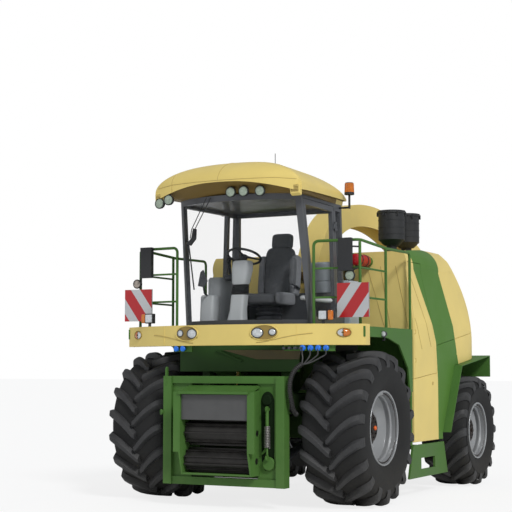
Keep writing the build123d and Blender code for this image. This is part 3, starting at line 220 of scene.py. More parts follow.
def band(node, link, place):
    """1 in the green band: behind its front edge and ahead of its rear edge. Each edge's y is the least of
    a few straight lines in z, so the edge leans back over the hood and stands upright below."""
    split = node.new("ShaderNodeSeparateXYZ")
    link(place, split.inputs[0])

    def edge(lines):
        lowest = None
        for y, z, lean in lines:
            at = maths(node, link, "MULTIPLY_ADD", split.outputs["Z"], -lean, axle_y + y + lean * z)
            lowest = at if lowest is None else maths(node, link, "MINIMUM", lowest, at)
        return lowest

    front_edge = edge([(1.459, 3.011, 0.58), (2.08, 1.94, 0.12), (2.14, 1.4, 0)])
    rear_edge = edge([(2.37, 3.114, 0.405), (2.96, 1.7, 0.3)])
    behind = maths(node, link, "GREATER_THAN", split.outputs["Y"], front_edge)
    ahead = maths(node, link, "LESS_THAN", split.outputs["Y"], rear_edge)
    return maths(node, link, "MULTIPLY", behind, ahead)


cream = finish("cream_gloss", (228, 204, 120), rough=0.42, coat=0.05, specular=0.3, uneven=0.035,
               grain=0.03, dust=0.16)
banded = finish("cream_gloss_with_green_band", (232, 209, 130), rough=0.5, specular=0.15, uneven=0.035,
                grain=0.03, dust=0.1, second=(84, 126, 54), where=band)
# Painted shade: the cream as it looks in shade, a dull green-brown, given to faces that point down and to the
# roof's louvre slots.
painted_shade_olive = finish("cream_in_painted_shade", (122, 98, 44), rough=0.6, uneven=0.05, grain=0.05)
green = finish("green_gloss", (74, 114, 52), rough=0.5, uneven=0.07, grain=0.03, dust=0.08, specular=0.2)
cab_dark = finish("cab_frame_satin", (78, 80, 84), rough=0.42, coat=0.1, uneven=0.08, grain=0.04)
chassis_green = finish("chassis_green_satin", (44, 74, 32), rough=0.6, specular=0.25, uneven=0.12,
                       grain=0.06, dust=0.2)

# ----------------------------
# Every steel piece that keeps the CAD shape: its plates are pressed or welded, so its edges are
# broken by a small radius and its curved faces are smooth.


def round_edges(made, width):
    """A small radius on every edge sharper than 40 degrees."""
    bevel = made.modifiers.new("broken_edges", "BEVEL")
    bevel.width, bevel.segments, bevel.harden_normals = width, 2, True
    bevel.limit_method, bevel.angle_limit = "ANGLE", radians(40)


def dressed(node, look, edge=0.004, smooth=32, others=()):
    """A copy of a CAD node whose loose triangles are merged, its flat facets rejoined, its curved
    faces shaded smooth and its sharp edges rounded. It stands in for the node on the node's body.
    Each of `others` is a second finish and a test of face centres and normals for where it goes."""
    cad = frame["nodes"][node]
    mesh = cad.data.copy()
    mesh.name = node + "_form"
    made = bpy.data.objects.new(node + "_form", mesh)
    bpy.context.scene.collection.objects.link(made)
    merge = made.modifiers.new("merge", "WELD")
    merge.merge_threshold = 0.0002
    flat = made.modifiers.new("rejoin", "DECIMATE")
    flat.decimate_type, flat.angle_limit = "DISSOLVE", radians(0.5)
    baked = bpy.data.meshes.new_from_object(made.evaluated_get(bpy.context.evaluated_depsgraph_get()))
    made.modifiers.clear()
    made.data = baked
    baked.materials.clear()
    baked.materials.append(look)
    count = len(baked.polygons)
    centres, normals, chosen = np.zeros(count * 3), np.zeros(count * 3), np.zeros(count, int)
    baked.polygons.foreach_get("center", centres)
    baked.polygons.foreach_get("normal", normals)
    centres = centres.reshape(-1, 3) - (0, axle_y, 0)
    for number, (other, test) in enumerate(others, 1):
        baked.materials.append(other)
        chosen[test(*centres.T, normals.reshape(-1, 3))] = number
    baked.polygons.foreach_set("material_index", chosen)
    baked.polygons.foreach_set("use_smooth", np.ones(len(baked.polygons), bool))
    baked.set_sharp_from_angle(angle=radians(smooth))
    if edge:
        round_edges(made, edge)
    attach(made, cad["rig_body"])
    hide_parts(node)
    return made


for look, edge, names in (
        (chassis_green, 0.006, "chassis_frame cross_members body_arms front_axle rear_axle chopper_housing"),
        (chassis_green, 0.006, "cab_carrier"),
        (chassis_green, 0.004, "steering_knuckle_left steering_knuckle_right rear_frame"),
        (green, 0.005, "feeder_frame"), (green, 0.004, "platforms"), (green, 0.002, "ladder"),
        (green, 0.004, "side_steps rear_fenders"), (green, 0, "railings"), (cream, 0.012, "bumper"),
        (cream, 0.006, "spout_turret"), (cream, 0.003, "spout_flap"),
        (banded, 0.006, "hood side_door_left side_door_right side_skirts lower_hood"),
        (cab_dark, 0.006, "cab_shell"), (cab_dark, 0.005, "cab_door")):
    for node in names.split():
        dressed(node, look, edge)
# The spout's downward faces take the painted shade colour.
dressed("spout", cream, 0.006, others=[(painted_shade_olive, lambda x, y, z, facing: facing[:, 2] < -0.5)])

# ----------------------------
# Bare and dull metal and moulded plastic of the smaller pieces. Each keeps the CAD shape; the plain
# couplers' front ends have a second finish.
worn_steel = finish("worn_steel", (50, 48, 46), rough=0.42, metal=0.6, uneven=0.2, patch=9, grain=0.12,
                    grain_scale=180)
plate_grey = finish("plate_grey", (84, 84, 84), rough=0.6, metal=0.2, uneven=0.08, patch=6, grain=0.08,
                    grain_scale=200)
silver = finish("silver_coat", (154, 156, 158), rough=0.36, metal=0.3, coat=0.2, uneven=0.05, grain=0.03,
                dust=0.1)
black_plastic = finish("black_plastic", (38, 39, 41), rough=0.55, uneven=0.1, grain=0.12, grain_scale=600)
grey_plastic = finish("grey_plastic", (178, 182, 184), rough=0.5, uneven=0.05, grain=0.1, grain_scale=600)
pale_plastic = finish("pale_grey_plastic", (176, 184, 190), rough=0.5, uneven=0.04, grain=0.08,
                      grain_scale=500)
dark_plastic = finish("dark_grey_plastic", (62, 64, 68), rough=0.55, uneven=0.08, grain=0.12, grain_scale=600)
engine_metal = finish("engine_casting", (88, 90, 92), rough=0.6, metal=0.5, uneven=0.15, grain=0.2,
                      grain_scale=120)
amber = finish("amber_lens", (204, 112, 24), rough=0.2, coat=0.6, uneven=0.15, patch=30)

for look, edge, names in (
        (worn_steel, 0.002, "tie_rod"), (engine_metal, 0.02, "engine_block"),
        (plate_grey, 0.002, "feeder_shield"),
        (worn_steel, 0.002, "upper_feed_roll lower_feed_roll"), (dark_plastic, 0.003, "lift_cylinders"),
        (silver, 0.001, "lift_rods"), (black_plastic, 0, "antenna"), (black_plastic, 0.01, "mirrors"),
        (black_plastic, 0.002, "beacons"), (pale_plastic, 0.02, "equipment_cabinet"),
        (dark_plastic, 0.002, "rear_grille"), (black_plastic, 0.004, "air_drums"),
        (dark_plastic, 0.003, "spout_cylinder"), (silver, 0.001, "spout_rod")):
    for node in names.split():
        dressed(node, look, edge)
coupler_front = -0.782
dressed("hydraulic_couplers", green, 0.002,
        others=[(dark_plastic, lambda x, y, z, facing: y < coupler_front)])

# ----------------------------
# Glass: lightly tinted, single panes bonded into the cab's frame and into the door.
glass = bpy.data.materials.new("tinted_glass")
glass.use_nodes = True
node = glass.node_tree.nodes
pane = node["Principled BSDF"]
pane.inputs["Base Color"].default_value = (0.05, 0.06, 0.06, 1)
pane.inputs["Roughness"].default_value = 0.02
pane.inputs["Alpha"].default_value = 0.03
pane.inputs["Specular IOR Level"].default_value = 0.35
for node_name in ("cab_glass", "door_glass"):
    dressed(node_name, glass, 0.001)

# ----------------------------
# Tyres: deep-lugged tractor tyres in black rubber. Two rows of bars meet in a V along the middle,
# the rows set half a pitch apart, and each bar's end wraps over the shoulder.
rubber = finish("tyre_rubber", (38, 38, 38), rough=0.8, specular=0.3, uneven=0.14, patch=5, grain=0.25,
                grain_scale=160, dust=0.07, dust_top=0.7)
lug_rubber = finish("lug_rubber", (52, 52, 53), rough=0.62, specular=0.45, uneven=0.2, patch=7, grain=0.25,
                    grain_scale=160, dust=0.06, dust_top=0.7)


def merged(parts):
    """Points and faces of several parts as one, each part's faces counted on from the last."""
    points = np.concatenate([p for p, _ in parts])
    starts = np.cumsum([0] + [len(p) for p, _ in parts[:-1]])
    faces = [tuple(int(i) + int(s) for i in f) for (_, fs), s in zip(parts, starts) for f in fs]
    return points, faces


def grid_faces(rows, columns, round_rows=False, round_columns=False):
    """Quads between the points of a grid stored row by row, closed into a ring where asked."""
    r = np.arange(rows if round_rows else rows - 1)[:, None]
    c = np.arange(columns if round_columns else columns - 1)[None, :]
    r2, c2 = (r + 1) % rows, (c + 1) % columns
    corners = [r * columns + c, r2 * columns + c, r2 * columns + c2, r * columns + c2]
    return np.stack(corners, -1).reshape(-1, 4)


def around(steps):
    """The angles of even steps round a circle."""
    return np.linspace(0, 2 * pi, steps, endpoint=False)


def turned(profile, centre=(0, 0, 0), axis=(1, 0, 0), steps=48, ring=False):
    """A profile of (along, radius) turned about the axis through the centre: each point goes along the
    axis, plus its radius times cos and sin of the turn on two directions square to the axis."""
    along, radius = np.array(profile, float).T
    turn = around(steps)[:, None, None]
    ahead = np.array(axis, float) / np.linalg.norm(axis)
    first = np.cross(ahead, (0.0, 1.0, 0.0) if abs(ahead[1]) < 0.9 else (1.0, 0.0, 0.0))
    first /= np.linalg.norm(first)
    second = np.cross(ahead, first)
    out = np.cos(turn) * first + np.sin(turn) * second
    points = np.array(centre) + along[:, None] * ahead + radius[:, None] * out
    return points.reshape(-1, 3), grid_faces(steps, len(profile), True, ring)


def capped(rows, columns):
    """The faces of a tube stored as rows of points, with a face over each end."""
    last = rows * columns
    ends = [tuple(range(columns - 1, -1, -1)), tuple(range(last - columns, last))]
    return [tuple(face) for face in grid_faces(rows, columns, False, True)] + ends


def piece(name, parts, look, body="machine", smooth=35, edge=0.0, replaces=()):
    """One mesh object from its parts, riding on a body. Its points are given from the ground under the
    front axle. Doubled points are joined, faces turned outwards and gentle edges shaded smooth."""
    points, faces = merged(parts)
    mesh = bpy.data.meshes.new(name)
    mesh.from_pydata((points + (0, axle_y, 0)).tolist(), [], faces)
    shape = bmesh.new()
    shape.from_mesh(mesh)
    bmesh.ops.remove_doubles(shape, verts=shape.verts, dist=1e-5)
    bmesh.ops.recalc_face_normals(shape, faces=shape.faces)
    shape.to_mesh(mesh)
    shape.free()
    mesh.polygons.foreach_set("use_smooth", np.ones(len(mesh.polygons), bool))
    mesh.set_sharp_from_angle(angle=radians(smooth))
    mesh.materials.append(look)
    made = bpy.data.objects.new(name, mesh)
    bpy.context.scene.collection.objects.link(made)
    if edge:
        round_edges(made, edge)
    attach(made, body)
    if replaces:
        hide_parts(*replaces)
    return made


def tread_bar(half, radius, depth, side, start, pitch):
    """One lug, a bar bent round the tyre from just past the middle to the shoulder and a hand down the side
    wall. Its angle falls back by 0.92 of a pitch times 1 - (1 - t) to the power 1.5, so it is steep at the
    nose and flat at the shoulder. It is widest at its foot and chamfered along its top."""
    walk = np.linspace(0, 1, 15)
    knots = [0, 0.25, 0.5, 0.66, 0.78, 0.86, 0.92, 1]
    across = half * np.interp(walk, knots, [-0.035, 0.3, 0.6, 0.78, 0.9, 0.965, 0.99, 0.975])
    crown = radius - depth * np.interp(walk, knots, [0, 0.01, 0.06, 0.22, 0.55, 1.0, 1.7, 3.1])
    foot = radius - depth * np.interp(walk, knots, [1.3, 1.3, 1.3, 1.5, 1.9, 2.4, 3.0, 4.0])
    t = np.clip(across / half, 0, 1)
    middle = start - pitch * 0.92 * (1 - (1 - t) ** 1.5)
    top = np.interp(walk, [0, 0.08, 0.6, 1], [0.026, 0.036, 0.04, 0.032])
    ring = []
    for sideways, height in ((-top - 0.03, foot), (-top - 0.004, crown - 0.01), (-top + 0.006, crown),
                             (top - 0.006, crown), (top + 0.004, crown - 0.01), (top + 0.03, foot)):
        angle = middle + sideways / radius
        ring.append(np.stack([side * across, height * np.cos(angle), height * np.sin(angle)], -1))
    return np.stack(ring, 1).reshape(-1, 3), capped(len(walk), 6)


def tyre(prefix, side_name, lugs, depth, body):
    """A carcass turned from its section, with side walls that bulge from bead to shoulder, and its two rows
    of lugs: the outer row's first nose is at the bottom, the inner row half a pitch on."""
    low, high = np.array(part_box(f"{prefix}_tyre_{side_name}"))
    centre, half, radius = (low + high) / 2 - (0, axle_y, 0), (high[0] - low[0]) / 2, (high[2] - low[2]) / 2
    rim_low, rim_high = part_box(f"{prefix}_rim_{side_name}")
    rim_r, base = (rim_high[2] - rim_low[2]) / 2, radius - depth * 1.2
    wall = [(half * 0.79, rim_r - 0.02), (half * 0.83, rim_r + 0.008), (half * 0.865, rim_r + 0.03),
            (half * 0.93, rim_r + 0.08), (half * 0.975, rim_r + 0.15),
            (half * 0.988, (rim_r + base) / 2 + 0.05),
            (half * 0.975, base - 0.13), (half * 0.945, base - 0.075), (half * 0.9, base - 0.045),
            (half * 0.82, base - 0.028), (half * 0.6, base - 0.012), (half * 0.3, base - 0.003)]
    section = wall + [(0, base)] + [(-x, r) for x, r in reversed(wall)]
    outer, pitch = (1 if side_name == "left" else -1), 2 * pi / lugs
    bars = []
    for i in range(lugs):
        for row, turn in ((outer, i), (-outer, i + 0.5)):
            points, faces = tread_bar(half, radius, depth, row, turn * pitch - pi / 2 - 0.03 / radius, pitch)
            bars.append((points + centre, faces))
    piece(f"{prefix}_tyre_{side_name}_carcass", [turned(section, centre, steps=120, ring=True)], rubber, body,
          smooth=50, replaces=[f"{prefix}_tyre_{side_name}"])
    piece(f"{prefix}_tyre_{side_name}_lugs", bars, lug_rubber, body, smooth=30)


sides = (("left", 1), ("right", -1))
for side_name, sign in sides:
    tyre("front", side_name, 18, 0.052, f"front_wheel_{side_name}")
    tyre("rear", side_name, 16, 0.042, f"rear_wheel_{side_name}")

# ----------------------------
# Rims: pressed and welded steel discs, sprayed silver. The hub in the middle of each front rim is a
# dark planetary drive with a ring of bolts and an orange oil plug.
hub_dark = finish("hub_dark", (44, 36, 32), rough=0.55, metal=0.4, uneven=0.2, patch=20, grain=0.2,
                  grain_scale=90)
orange = finish("plug_orange", (226, 98, 24), rough=0.4, uneven=0.08)
for side_name, sign in sides:
    for prefix, axle, disc_x, height in (("front", 0, 1.463, 0.905), ("rear", 3.318, 1.529, 0.747)):
        def on_hub(x, y, z, facing):
            near = (np.hypot(y - axle, z - height) < 0.17) & (np.abs(x) > disc_x - 0.08)
            return near & (facing[:, 0] * sign > -0.3)

        dressed(f"{prefix}_rim_{side_name}", silver, 0.003, others=[(hub_dark, on_hub)])
        face, body = sign * disc_x, f"{prefix}_wheel_{side_name}"
        low, high = np.array(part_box(f"{prefix}_rim_{side_name}"))
        middle, half, lip = (low + high) / 2 - (0, axle_y, 0), (high[0] - low[0]) / 2, (high[2] - low[2]) / 2
        roll = np.linspace(-0.4 * pi, 1.1 * pi, 12)
        curl = [(half + 0.012 + 0.012 * np.sin(a), lip - 0.004 - 0.012 * np.cos(a)) for a in roll]
        flange = [(half - 0.004, lip - 0.022), (half + 0.006, lip - 0.02), *curl, (half - 0.006, lip + 0.003)]
        rings = [turned([(way * x, r) for x, r in flange], middle, steps=96, ring=True) for way in (1, -1)]
        piece(f"{prefix}_rim_flanges_{side_name}", rings, silver, body, smooth=50)
        turn = around(10)
        bolts = [turned([(0, 0), (0, 0.012), (sign * 0.01, 0.012), (sign * 0.013, 0.008), (sign * 0.013, 0)],
                        (face, axle + 0.115 * np.cos(a), height + 0.115 * np.sin(a)), steps=6) for a in turn]
        piece(f"{prefix}_hub_bolts_{side_name}", bolts, worn_steel, body)
        cap = [(0, 0.07), (sign * 0.016, 0.068), (sign * 0.026, 0.056), (sign * 0.028, 0)]
        piece(f"{prefix}_hub_cap_{side_name}", [turned([(0, 0)] + cap, (face, axle, height))], hub_dark, body)
        plug = [(0, 0), (0, 0.026), (sign * 0.012, 0.026), (sign * 0.022, 0.018), (sign * 0.024, 0)]
        piece(f"{prefix}_hub_plug_{side_name}", [turned(plug, (face + sign * 0.027, axle, height), steps=24)],
              orange if prefix == "front" else hub_dark, body)

# ----------------------------
# Roof: one moulded cap with a joint down the middle of its front, a pressed line along the lip, and
# a louvred housing hanging from each front corner. Round lamps on short stalks point ahead.


def smooth_line(points, steps=8):
    """A line through the points: between two of them, the four nearest are weighted by cubes of t."""
    p = np.array(points, float)
    p = np.concatenate([[2 * p[0] - p[1]], p, [2 * p[-1] - p[-2]]])
    t = np.linspace(0, 1, steps, endpoint=False)[:, None, None]
    a, b, c, d = p[:-3], p[1:-2], p[2:-1], p[3:]
    square, cube = 2 * a - 5 * b + 4 * c - d, 3 * b - a - 3 * c + d
    line = 0.5 * (2 * b + (c - a) * t + square * t ** 2 + cube * t ** 3)
    return np.concatenate([line.transpose(1, 0, 2).reshape(-1, 3), p[-2:-1]])


def tube(line, radius, sides=12):
    """A round rod or hose along a line: at each of its points a circle stands square to it."""
    line = np.array(line, float)
    radius = np.broadcast_to(np.array(radius, float), (len(line),))[:, None, None]
    ahead = np.gradient(line, axis=0)
    ahead /= np.linalg.norm(ahead, axis=1)[:, None]
    side = np.cross(ahead, (0.62, 0.37, 0.69))
    side /= np.linalg.norm(side, axis=1)[:, None]
    up = np.cross(side, ahead)
    turn = around(sides)[None, :, None]
    points = line[:, None] + radius * (np.cos(turn) * side[:, None] + np.sin(turn) * up[:, None])
    return points.reshape(-1, 3), capped(len(line), sides)


def slab(outline, low, high, axis):
    """A flat outline carried along one axis from low to high, closed at both ends."""
    outline = np.array(outline, float)
    points = np.concatenate([np.insert(outline, axis, level, axis=1) for level in (low, high)])
    return points, capped(2, len(outline))


def box(x0, x1, y0, y1, z0, z1):
    return slab([(x0, y0), (x1, y0), (x1, y1), (x0, y1)], z0, z1, 2)


def dropped(nodes, points, towards):
    """Each point moved along a direction until it meets the surface of CAD nodes or of pieces."""
    joined, shift = bmesh.new(), Vector((0, axle_y, 0))
    for surface in nodes:
        joined.from_mesh((frame["nodes"][surface] if isinstance(surface, str) else surface).data)
    tree = BVHTree.FromBMesh(joined)
    joined.free()
    met = [tree.ray_cast(Vector(p) + shift, Vector(towards))[0] for p in points]
    return np.array([m - shift for m in met if m is not None])


def roof_top(p, y, ahead):
    """Height of the cap. Across, it is the edge's height plus the rest times (1 - |p|^2.2)^0.62. Along, it
    rises from the lip in a quarter curve, and falls to the rear with the 1.9th power of the way. The lowest
    holds, blended over 8 cm."""
    way = np.clip((y + 0.89) / 1.68, 0, 1)
    edge = 3.715 + 0.055 * way
    over = edge + (4.062 - edge) * (1 - np.abs(p) ** 2.2) ** 0.62
    rise = 3.795 + 0.267 * (1 - (1 - np.clip(ahead / 0.61, 0, 1)) ** 2.2) ** 0.6
    fall = 4.062 - 0.352 * np.clip((y + 0.49) / 1.3, 0, 1) ** 1.9
    lower = np.minimum(rise, fall)
    blend = np.clip(0.5 + (over - lower) / 0.08, 0, 1)
    return over * (1 - blend) + lower * blend - 0.04 * blend * (1 - blend)


def roof_low(x, p, y):
    """Height of the cap's lower edge: flat on the cab, arched up over the windscreen in front, and rising
    6 cm towards the rear along the overhang."""
    arch = np.clip(0.13 * (1 - (x / 0.9) ** 2), 0, 1)
    wedge = np.clip((-0.79 - y) * 0.42, 0, 1)
    return 3.64 + np.minimum(arch, wedge) + 0.06 * np.clip((y + 0.89) / 1.5, 0, 1) ** 0.7 * (np.abs(p) > 0.93)


columns, rows = 81, 49
p = np.sin(np.linspace(-pi / 2, pi / 2, columns))[None, :]
q = (np.linspace(0, 1, rows) ** 1.5)[:, None]
front = -1.09 + 0.2 * p ** 2
y = front + q * (0.79 - front)
x = p * (0.985 - 0.185 * np.clip((y + 0.89) / 1.68, 0, 1))
top, low = roof_top(p + 0 * y, y, y - front), roof_low(x, p + 0 * y, y)
skins = [np.stack([x, y, z], -1).reshape(-1, 3) for z in (np.maximum(top, low + 0.004), low)]
last = (rows - 1) * columns
loop = np.concatenate([np.arange(columns), np.arange(1, rows) * columns + columns - 1,
                       np.arange(columns - 2, -1, -1) + last, np.arange(rows - 2, 0, -1) * columns])
below, ahead = loop + rows * columns, np.roll(loop, -1)
edge_faces = np.stack([loop, ahead, np.roll(below, -1), below], -1)
over = grid_faces(rows, columns)
faces = np.concatenate([over, over[:, ::-1] + rows * columns, edge_faces])
cap = piece("roof_cap", [(np.concatenate(skins), faces)], cream, smooth=40, edge=0.004,
            replaces=["cab_roof"])
# The cap's downward faces take the painted shade colour.
cap.data.materials.append(painted_shade_olive)
facing = np.zeros(len(cap.data.polygons) * 3)
cap.data.polygons.foreach_get("normal", facing)
cap.data.polygons.foreach_set("material_index", (facing[2::3] < -0.2).astype(int))

# Painted shade: a darker cream for the roof's joint and pressed lines, the bumper's creases, the side and
# front grooves and the side latches. Each is drawn as a thin rod on the surface.
painted_shade_cream = finish("pressed_line_painted_shade", (186, 162, 92), rough=0.6, uneven=0.05)
down, back = (0, 0, -1), (0, 1, 0)
lip_line = [(x, -2, 3.785 - 0.09 * max(abs(x) - 0.68, 0)) for x in np.linspace(-0.93, 0.93, 40)]
lines = [dropped([cap], [(-0.01, y, 5) for y in np.linspace(-0.55, -1.0, 14)], down),
         dropped([cap], [(-0.01, -2, z) for z in np.linspace(3.93, 3.78, 6)], back),
         dropped([cap], [(-0.69, -2, z) for z in np.linspace(3.92, 3.7, 8)], back),
         dropped([cap], lip_line, back)]
piece("roof_pressed_lines", [tube(line, 0.0035, 6) for line in lines], painted_shade_cream)

for name, sign in sides:
    outline = [(-0.925, 3.7), (-0.885, 3.72), (-0.85, 3.7), (-0.85, 3.59), (-0.868, 3.572),
               (-0.918, 3.596)]
    inner, outer = sorted((sign * 0.845, sign * 0.972))
    piece(f"roof_corner_{name}", [slab(outline, inner, outer, 0)], cream, edge=0.012)
    # The louvre slots are thin bars in the painted shade colour, standing for the shadowed gaps between the
    # blades.
    slots = [box(sign * 0.86, sign * 0.955, -0.926, -0.916, z, z + 0.006)
             for z in (3.622, 3.638, 3.654, 3.67, 3.686)]
    piece(f"roof_louvres_{name}", slots, painted_shade_olive)

lens = finish("lamp_lens", (206, 210, 212), rough=0.18, metal=0.25, coat=0.8, uneven=0.12, patch=60)
lens_green = finish("work_lamp_lens", (150, 164, 146), rough=0.2, metal=0.1, coat=0.8, uneven=0.16, patch=50)


def round_lamp(name, centre, radius, stalk, look=lens_green):
    """A round work lamp: a deep black shell with a rim, a domed lens, and a stalk to what carries it."""
    shell = [(0.055, 0), (0.05, radius * 0.45), (0.02, radius * 0.9), (-0.012, radius), (-0.022, radius),
             (-0.024, radius * 0.9), (-0.018, radius * 0.88), (-0.018, 0)]
    piece(name + "_shell", [turned(shell, centre, back, 32), tube(stalk, 0.011, 8)], black_plastic)
    dome = [(-0.019, 0), (-0.019, radius * 0.87), (-0.026, radius * 0.8), (-0.033, radius * 0.5), (-0.036, 0)]
    piece(name + "_lens", [turned(dome, centre, back, 32)], look)


for number, (x, y, z, top) in enumerate((
        (0.115, -0.985, 3.65, 3.72), (0.285, -0.985, 3.65, 3.72), (0.49, -0.965, 3.645, 3.71),
        (-0.75, -0.955, 3.61, 3.68), (-0.9, -0.915, 3.58, 3.65))):
    round_lamp(f"roof_lamp_{number + 1}", (x, y, z), 0.064, [(x, y + 0.02, z + 0.03), (x, y + 0.02, top)])

# ----------------------------
# Windscreen wiper: two thin arms from a motor over the glass, a gearbox and a long blade, all black.
arm = [(-0.226, -0.868, 3.618), (-0.534, -0.711, 3.272), (-0.6, -0.66, 3.16)]
second_arm = [(-0.29, -0.86, 3.622), (-0.597, -0.681, 3.277), (-0.64, -0.645, 3.17)]
blade = [(-0.69, -0.6, 3.13), (-0.672, -0.585, 2.95), (-0.65, -0.575, 2.75), (-0.628, -0.565, 2.55)]
gearbox = slab([(-0.68, 3.1), (-0.62, 3.08), (-0.55, 3.16), (-0.545, 3.28), (-0.585, 3.29), (-0.61, 3.17)],
               -0.675, -0.645, 1)
arms = [tube(arm, 0.006, 8), tube(second_arm, 0.006, 8)]
piece("wiper", arms + [tube(blade, 0.009, 8), gearbox], black_plastic, edge=0.003)

# ----------------------------
# Driver's seat: foam cushions under dark woven cloth on a sprung base, with grey side bolsters, a
# separate head rest, a folded arm rest and a control stick. The cloth is drawn in along its seams.
cloth = finish("seat_cloth", (98, 100, 103), rough=0.9, specular=0.2, uneven=0.12, patch=30, grain=0.5,
               grain_scale=900)
cloth_grey = finish("seat_bolster_cloth", (138, 140, 144), rough=0.9, specular=0.2, uneven=0.08, patch=30,
                    grain=0.5, grain_scale=900)


def cushion(centre, size, lean=0.0, round_by=0.38, crown=0.06, seams=0):
    """A padded block: cos and sin of two turns, each to a power below 1, give a box with full corners. Its
    faces crown towards their middles, and it is drawn in along its sewn channels. It leans back by `lean`."""
    up, turn = np.linspace(-pi / 2, pi / 2, 25)[:, None], around(48)[None, :]

    def power(value):
        return np.sign(value) * np.abs(value) ** round_by

    x, y = (power(np.cos(up)) * power(v) for v in (np.cos(turn), np.sin(turn)))
    z = power(np.sin(up)) + 0 * turn
    upright = size[1] < size[2]
    swell = 1 + crown * (1 - x ** 2) * (1 - (z if upright else y) ** 2)
    channel = 1 - 0.05 * np.exp(-((np.abs(x) - 0.62) / 0.05) ** 2) if seams else 1.0
    deep, tall = (swell * channel, 1.0) if upright else (1.0, swell * channel)
    p = np.stack([x * size[0], y * size[1] * deep, z * size[2] * tall], -1).reshape(-1, 3) / 2
    turned_by = np.array([[1, 0, 0], [0, np.cos(lean), np.sin(lean)], [0, -np.sin(lean), np.cos(lean)]])
    return p @ turned_by.T + centre, grid_faces(25, 48, False, True)


for name, parts, look in (
        ("seat_cushion", [cushion((0, 0.19, 2.45), (0.42, 0.5, 0.14), seams=1)], cloth),
        ("seat_back", [cushion((0, 0.5, 2.8), (0.4, 0.13, 0.66), lean=0.15, seams=1)], cloth),
        ("seat_head_rest", [cushion((0, 0.585, 3.205), (0.28, 0.09, 0.2), lean=0.14)], cloth),
        ("seat_bolsters", [cushion((s * 0.225, 0.5, 2.76), (0.085, 0.17, 0.52), lean=0.15) for s in (1, -1)]
         + [cushion((s * 0.235, 0.19, 2.455), (0.075, 0.46, 0.15)) for s in (1, -1)], cloth_grey),
        ("seat_arm_rest", [cushion((0.285, 0.3, 2.8), (0.06, 0.1, 0.34), lean=0.1)], cloth)):
    made = piece(name, parts, look, smooth=180, replaces=["seat"] if name == "seat_cushion" else ())
bellows = [(0.0, 0.14), (0.03, 0.17), (0.06, 0.14), (0.09, 0.17), (0.12, 0.14), (0.15, 0.17), (0.18, 0.14)]
sprung = turned([(0, 0)] + bellows + [(0.2, 0)], (0, 0.21, 2.18), (0, 0, 1))
arm_bracket = tube([(0.285, 0.34, 2.63), (0.28, 0.5, 2.6), (0.22, 0.53, 2.58)], 0.014)
piece("seat_base", [box(-0.18, 0.18, 0.03, 0.39, 2.112, 2.18), sprung, arm_bracket], dark_plastic, edge=0.006)
stick = smooth_line([(-0.4, -0.06, 2.74), (-0.4, -0.08, 2.82), (-0.39, -0.12, 2.9)])
knob = [(-0.03, 0), (-0.03, 0.02), (0, 0.034), (0.03, 0.03), (0.05, 0)]
piece("control_stick", [tube(stick, np.linspace(0.016, 0.024, len(stick))),
                        turned(knob, (-0.388, -0.13, 2.915), (0.1, -0.5, 1))], black_plastic)

# ----------------------------
# Steering column and consoles: moulded grey housings on the cab's floor, black rubber bellows where
# the column tilts, a thin-rimmed wheel, and a small terminal on an arm ahead of the side desk.


def housing(sections, steps=32):
    """A moulded tube through rounded rectangles: cos and sin of the turn to the power 0.45, times half the
    width and half the depth of each section (x, y, z, width, depth)."""
    sections = np.array(sections, float)
    turn = around(steps)
    c, d = (np.sign(v) * np.abs(v) ** 0.45 for v in (np.cos(turn), np.sin(turn)))
    x, y, z, width, depth = (column[:, None] for column in sections.T)
    points = np.stack([x + width / 2 * c, y + depth / 2 * d, z + 0 * c], -1).reshape(-1, 3)
    return points, capped(len(sections), steps)


def on_column(*sections):
    """A housing whose sections (z, width, depth) follow the column's lean."""
    return housing([(-0.11, -0.43 + 0.2 * (z - 2.11), z, width, depth) for z, width, depth in sections])


foot = on_column((2.112, 0.25, 0.18), (2.13, 0.24, 0.17), (2.3, 0.19, 0.15), (2.485, 0.19, 0.15))
head = on_column((2.61, 0.17, 0.15), (2.63, 0.19, 0.17), (2.8, 0.23, 0.2), (2.89, 0.21, 0.2),
                 (2.905, 0.17, 0.17))
piece("column_housings", [foot, head], grey_plastic, smooth=50, replaces=["steering_column"])
pleats = [(z, 0.175 + 0.02 * (i % 2), 0.14 + 0.02 * (i % 2))
          for i, z in enumerate(np.linspace(2.48, 2.615, 13))]
piece("column_bellows", [on_column(*pleats)], black_plastic, smooth=20)
turn = around(12)
wheel_axis = np.array([0, 0.42, 1]) / np.hypot(0.42, 1)
wheel_middle = np.array([-0.11, -0.245, 2.96])
rim = [(0.015 * np.sin(a), 0.205 + 0.015 * np.cos(a)) for a in turn]
boss = [(-0.075, 0), (-0.075, 0.03), (-0.01, 0.048), (0.012, 0.042), (0.016, 0)]
wheel_parts = [turned(rim, wheel_middle, wheel_axis, 64, True), turned(boss, wheel_middle, wheel_axis, 32)]
across = np.cross((1.0, 0, 0), wheel_axis)
for a in (radians(90), radians(210), radians(330)):
    ray = np.cos(a) * np.array([1.0, 0, 0]) + np.sin(a) * across
    wheel_parts.append(tube([wheel_middle + ray * r for r in (0.03, 0.1, 0.2)], [0.016, 0.012, 0.01]))
piece("steering_wheel", wheel_parts, black_plastic, smooth=50)
desk = housing([(-0.62, 0.25, z, width, depth) for z, width, depth in (
    (2.112, 0.24, 0.7), (2.7, 0.24, 0.7), (2.73, 0.21, 0.66))])
front_box = housing([(-0.63, -0.18, 2.112, 0.2, 0.22), (-0.62, -0.18, 2.48, 0.2, 0.2),
                     (-0.62, -0.18, 2.5, 0.17, 0.17)])
piece("side_desk", [desk, front_box], grey_plastic, smooth=50, replaces=["cab_consoles"])
arm_pad = cushion((-0.395, 0.12, 2.72), (0.13, 0.53, 0.08))
arm_post = housing([(-0.395, 0.28, 2.112, 0.09, 0.16), (-0.395, 0.28, 2.69, 0.09, 0.14)])
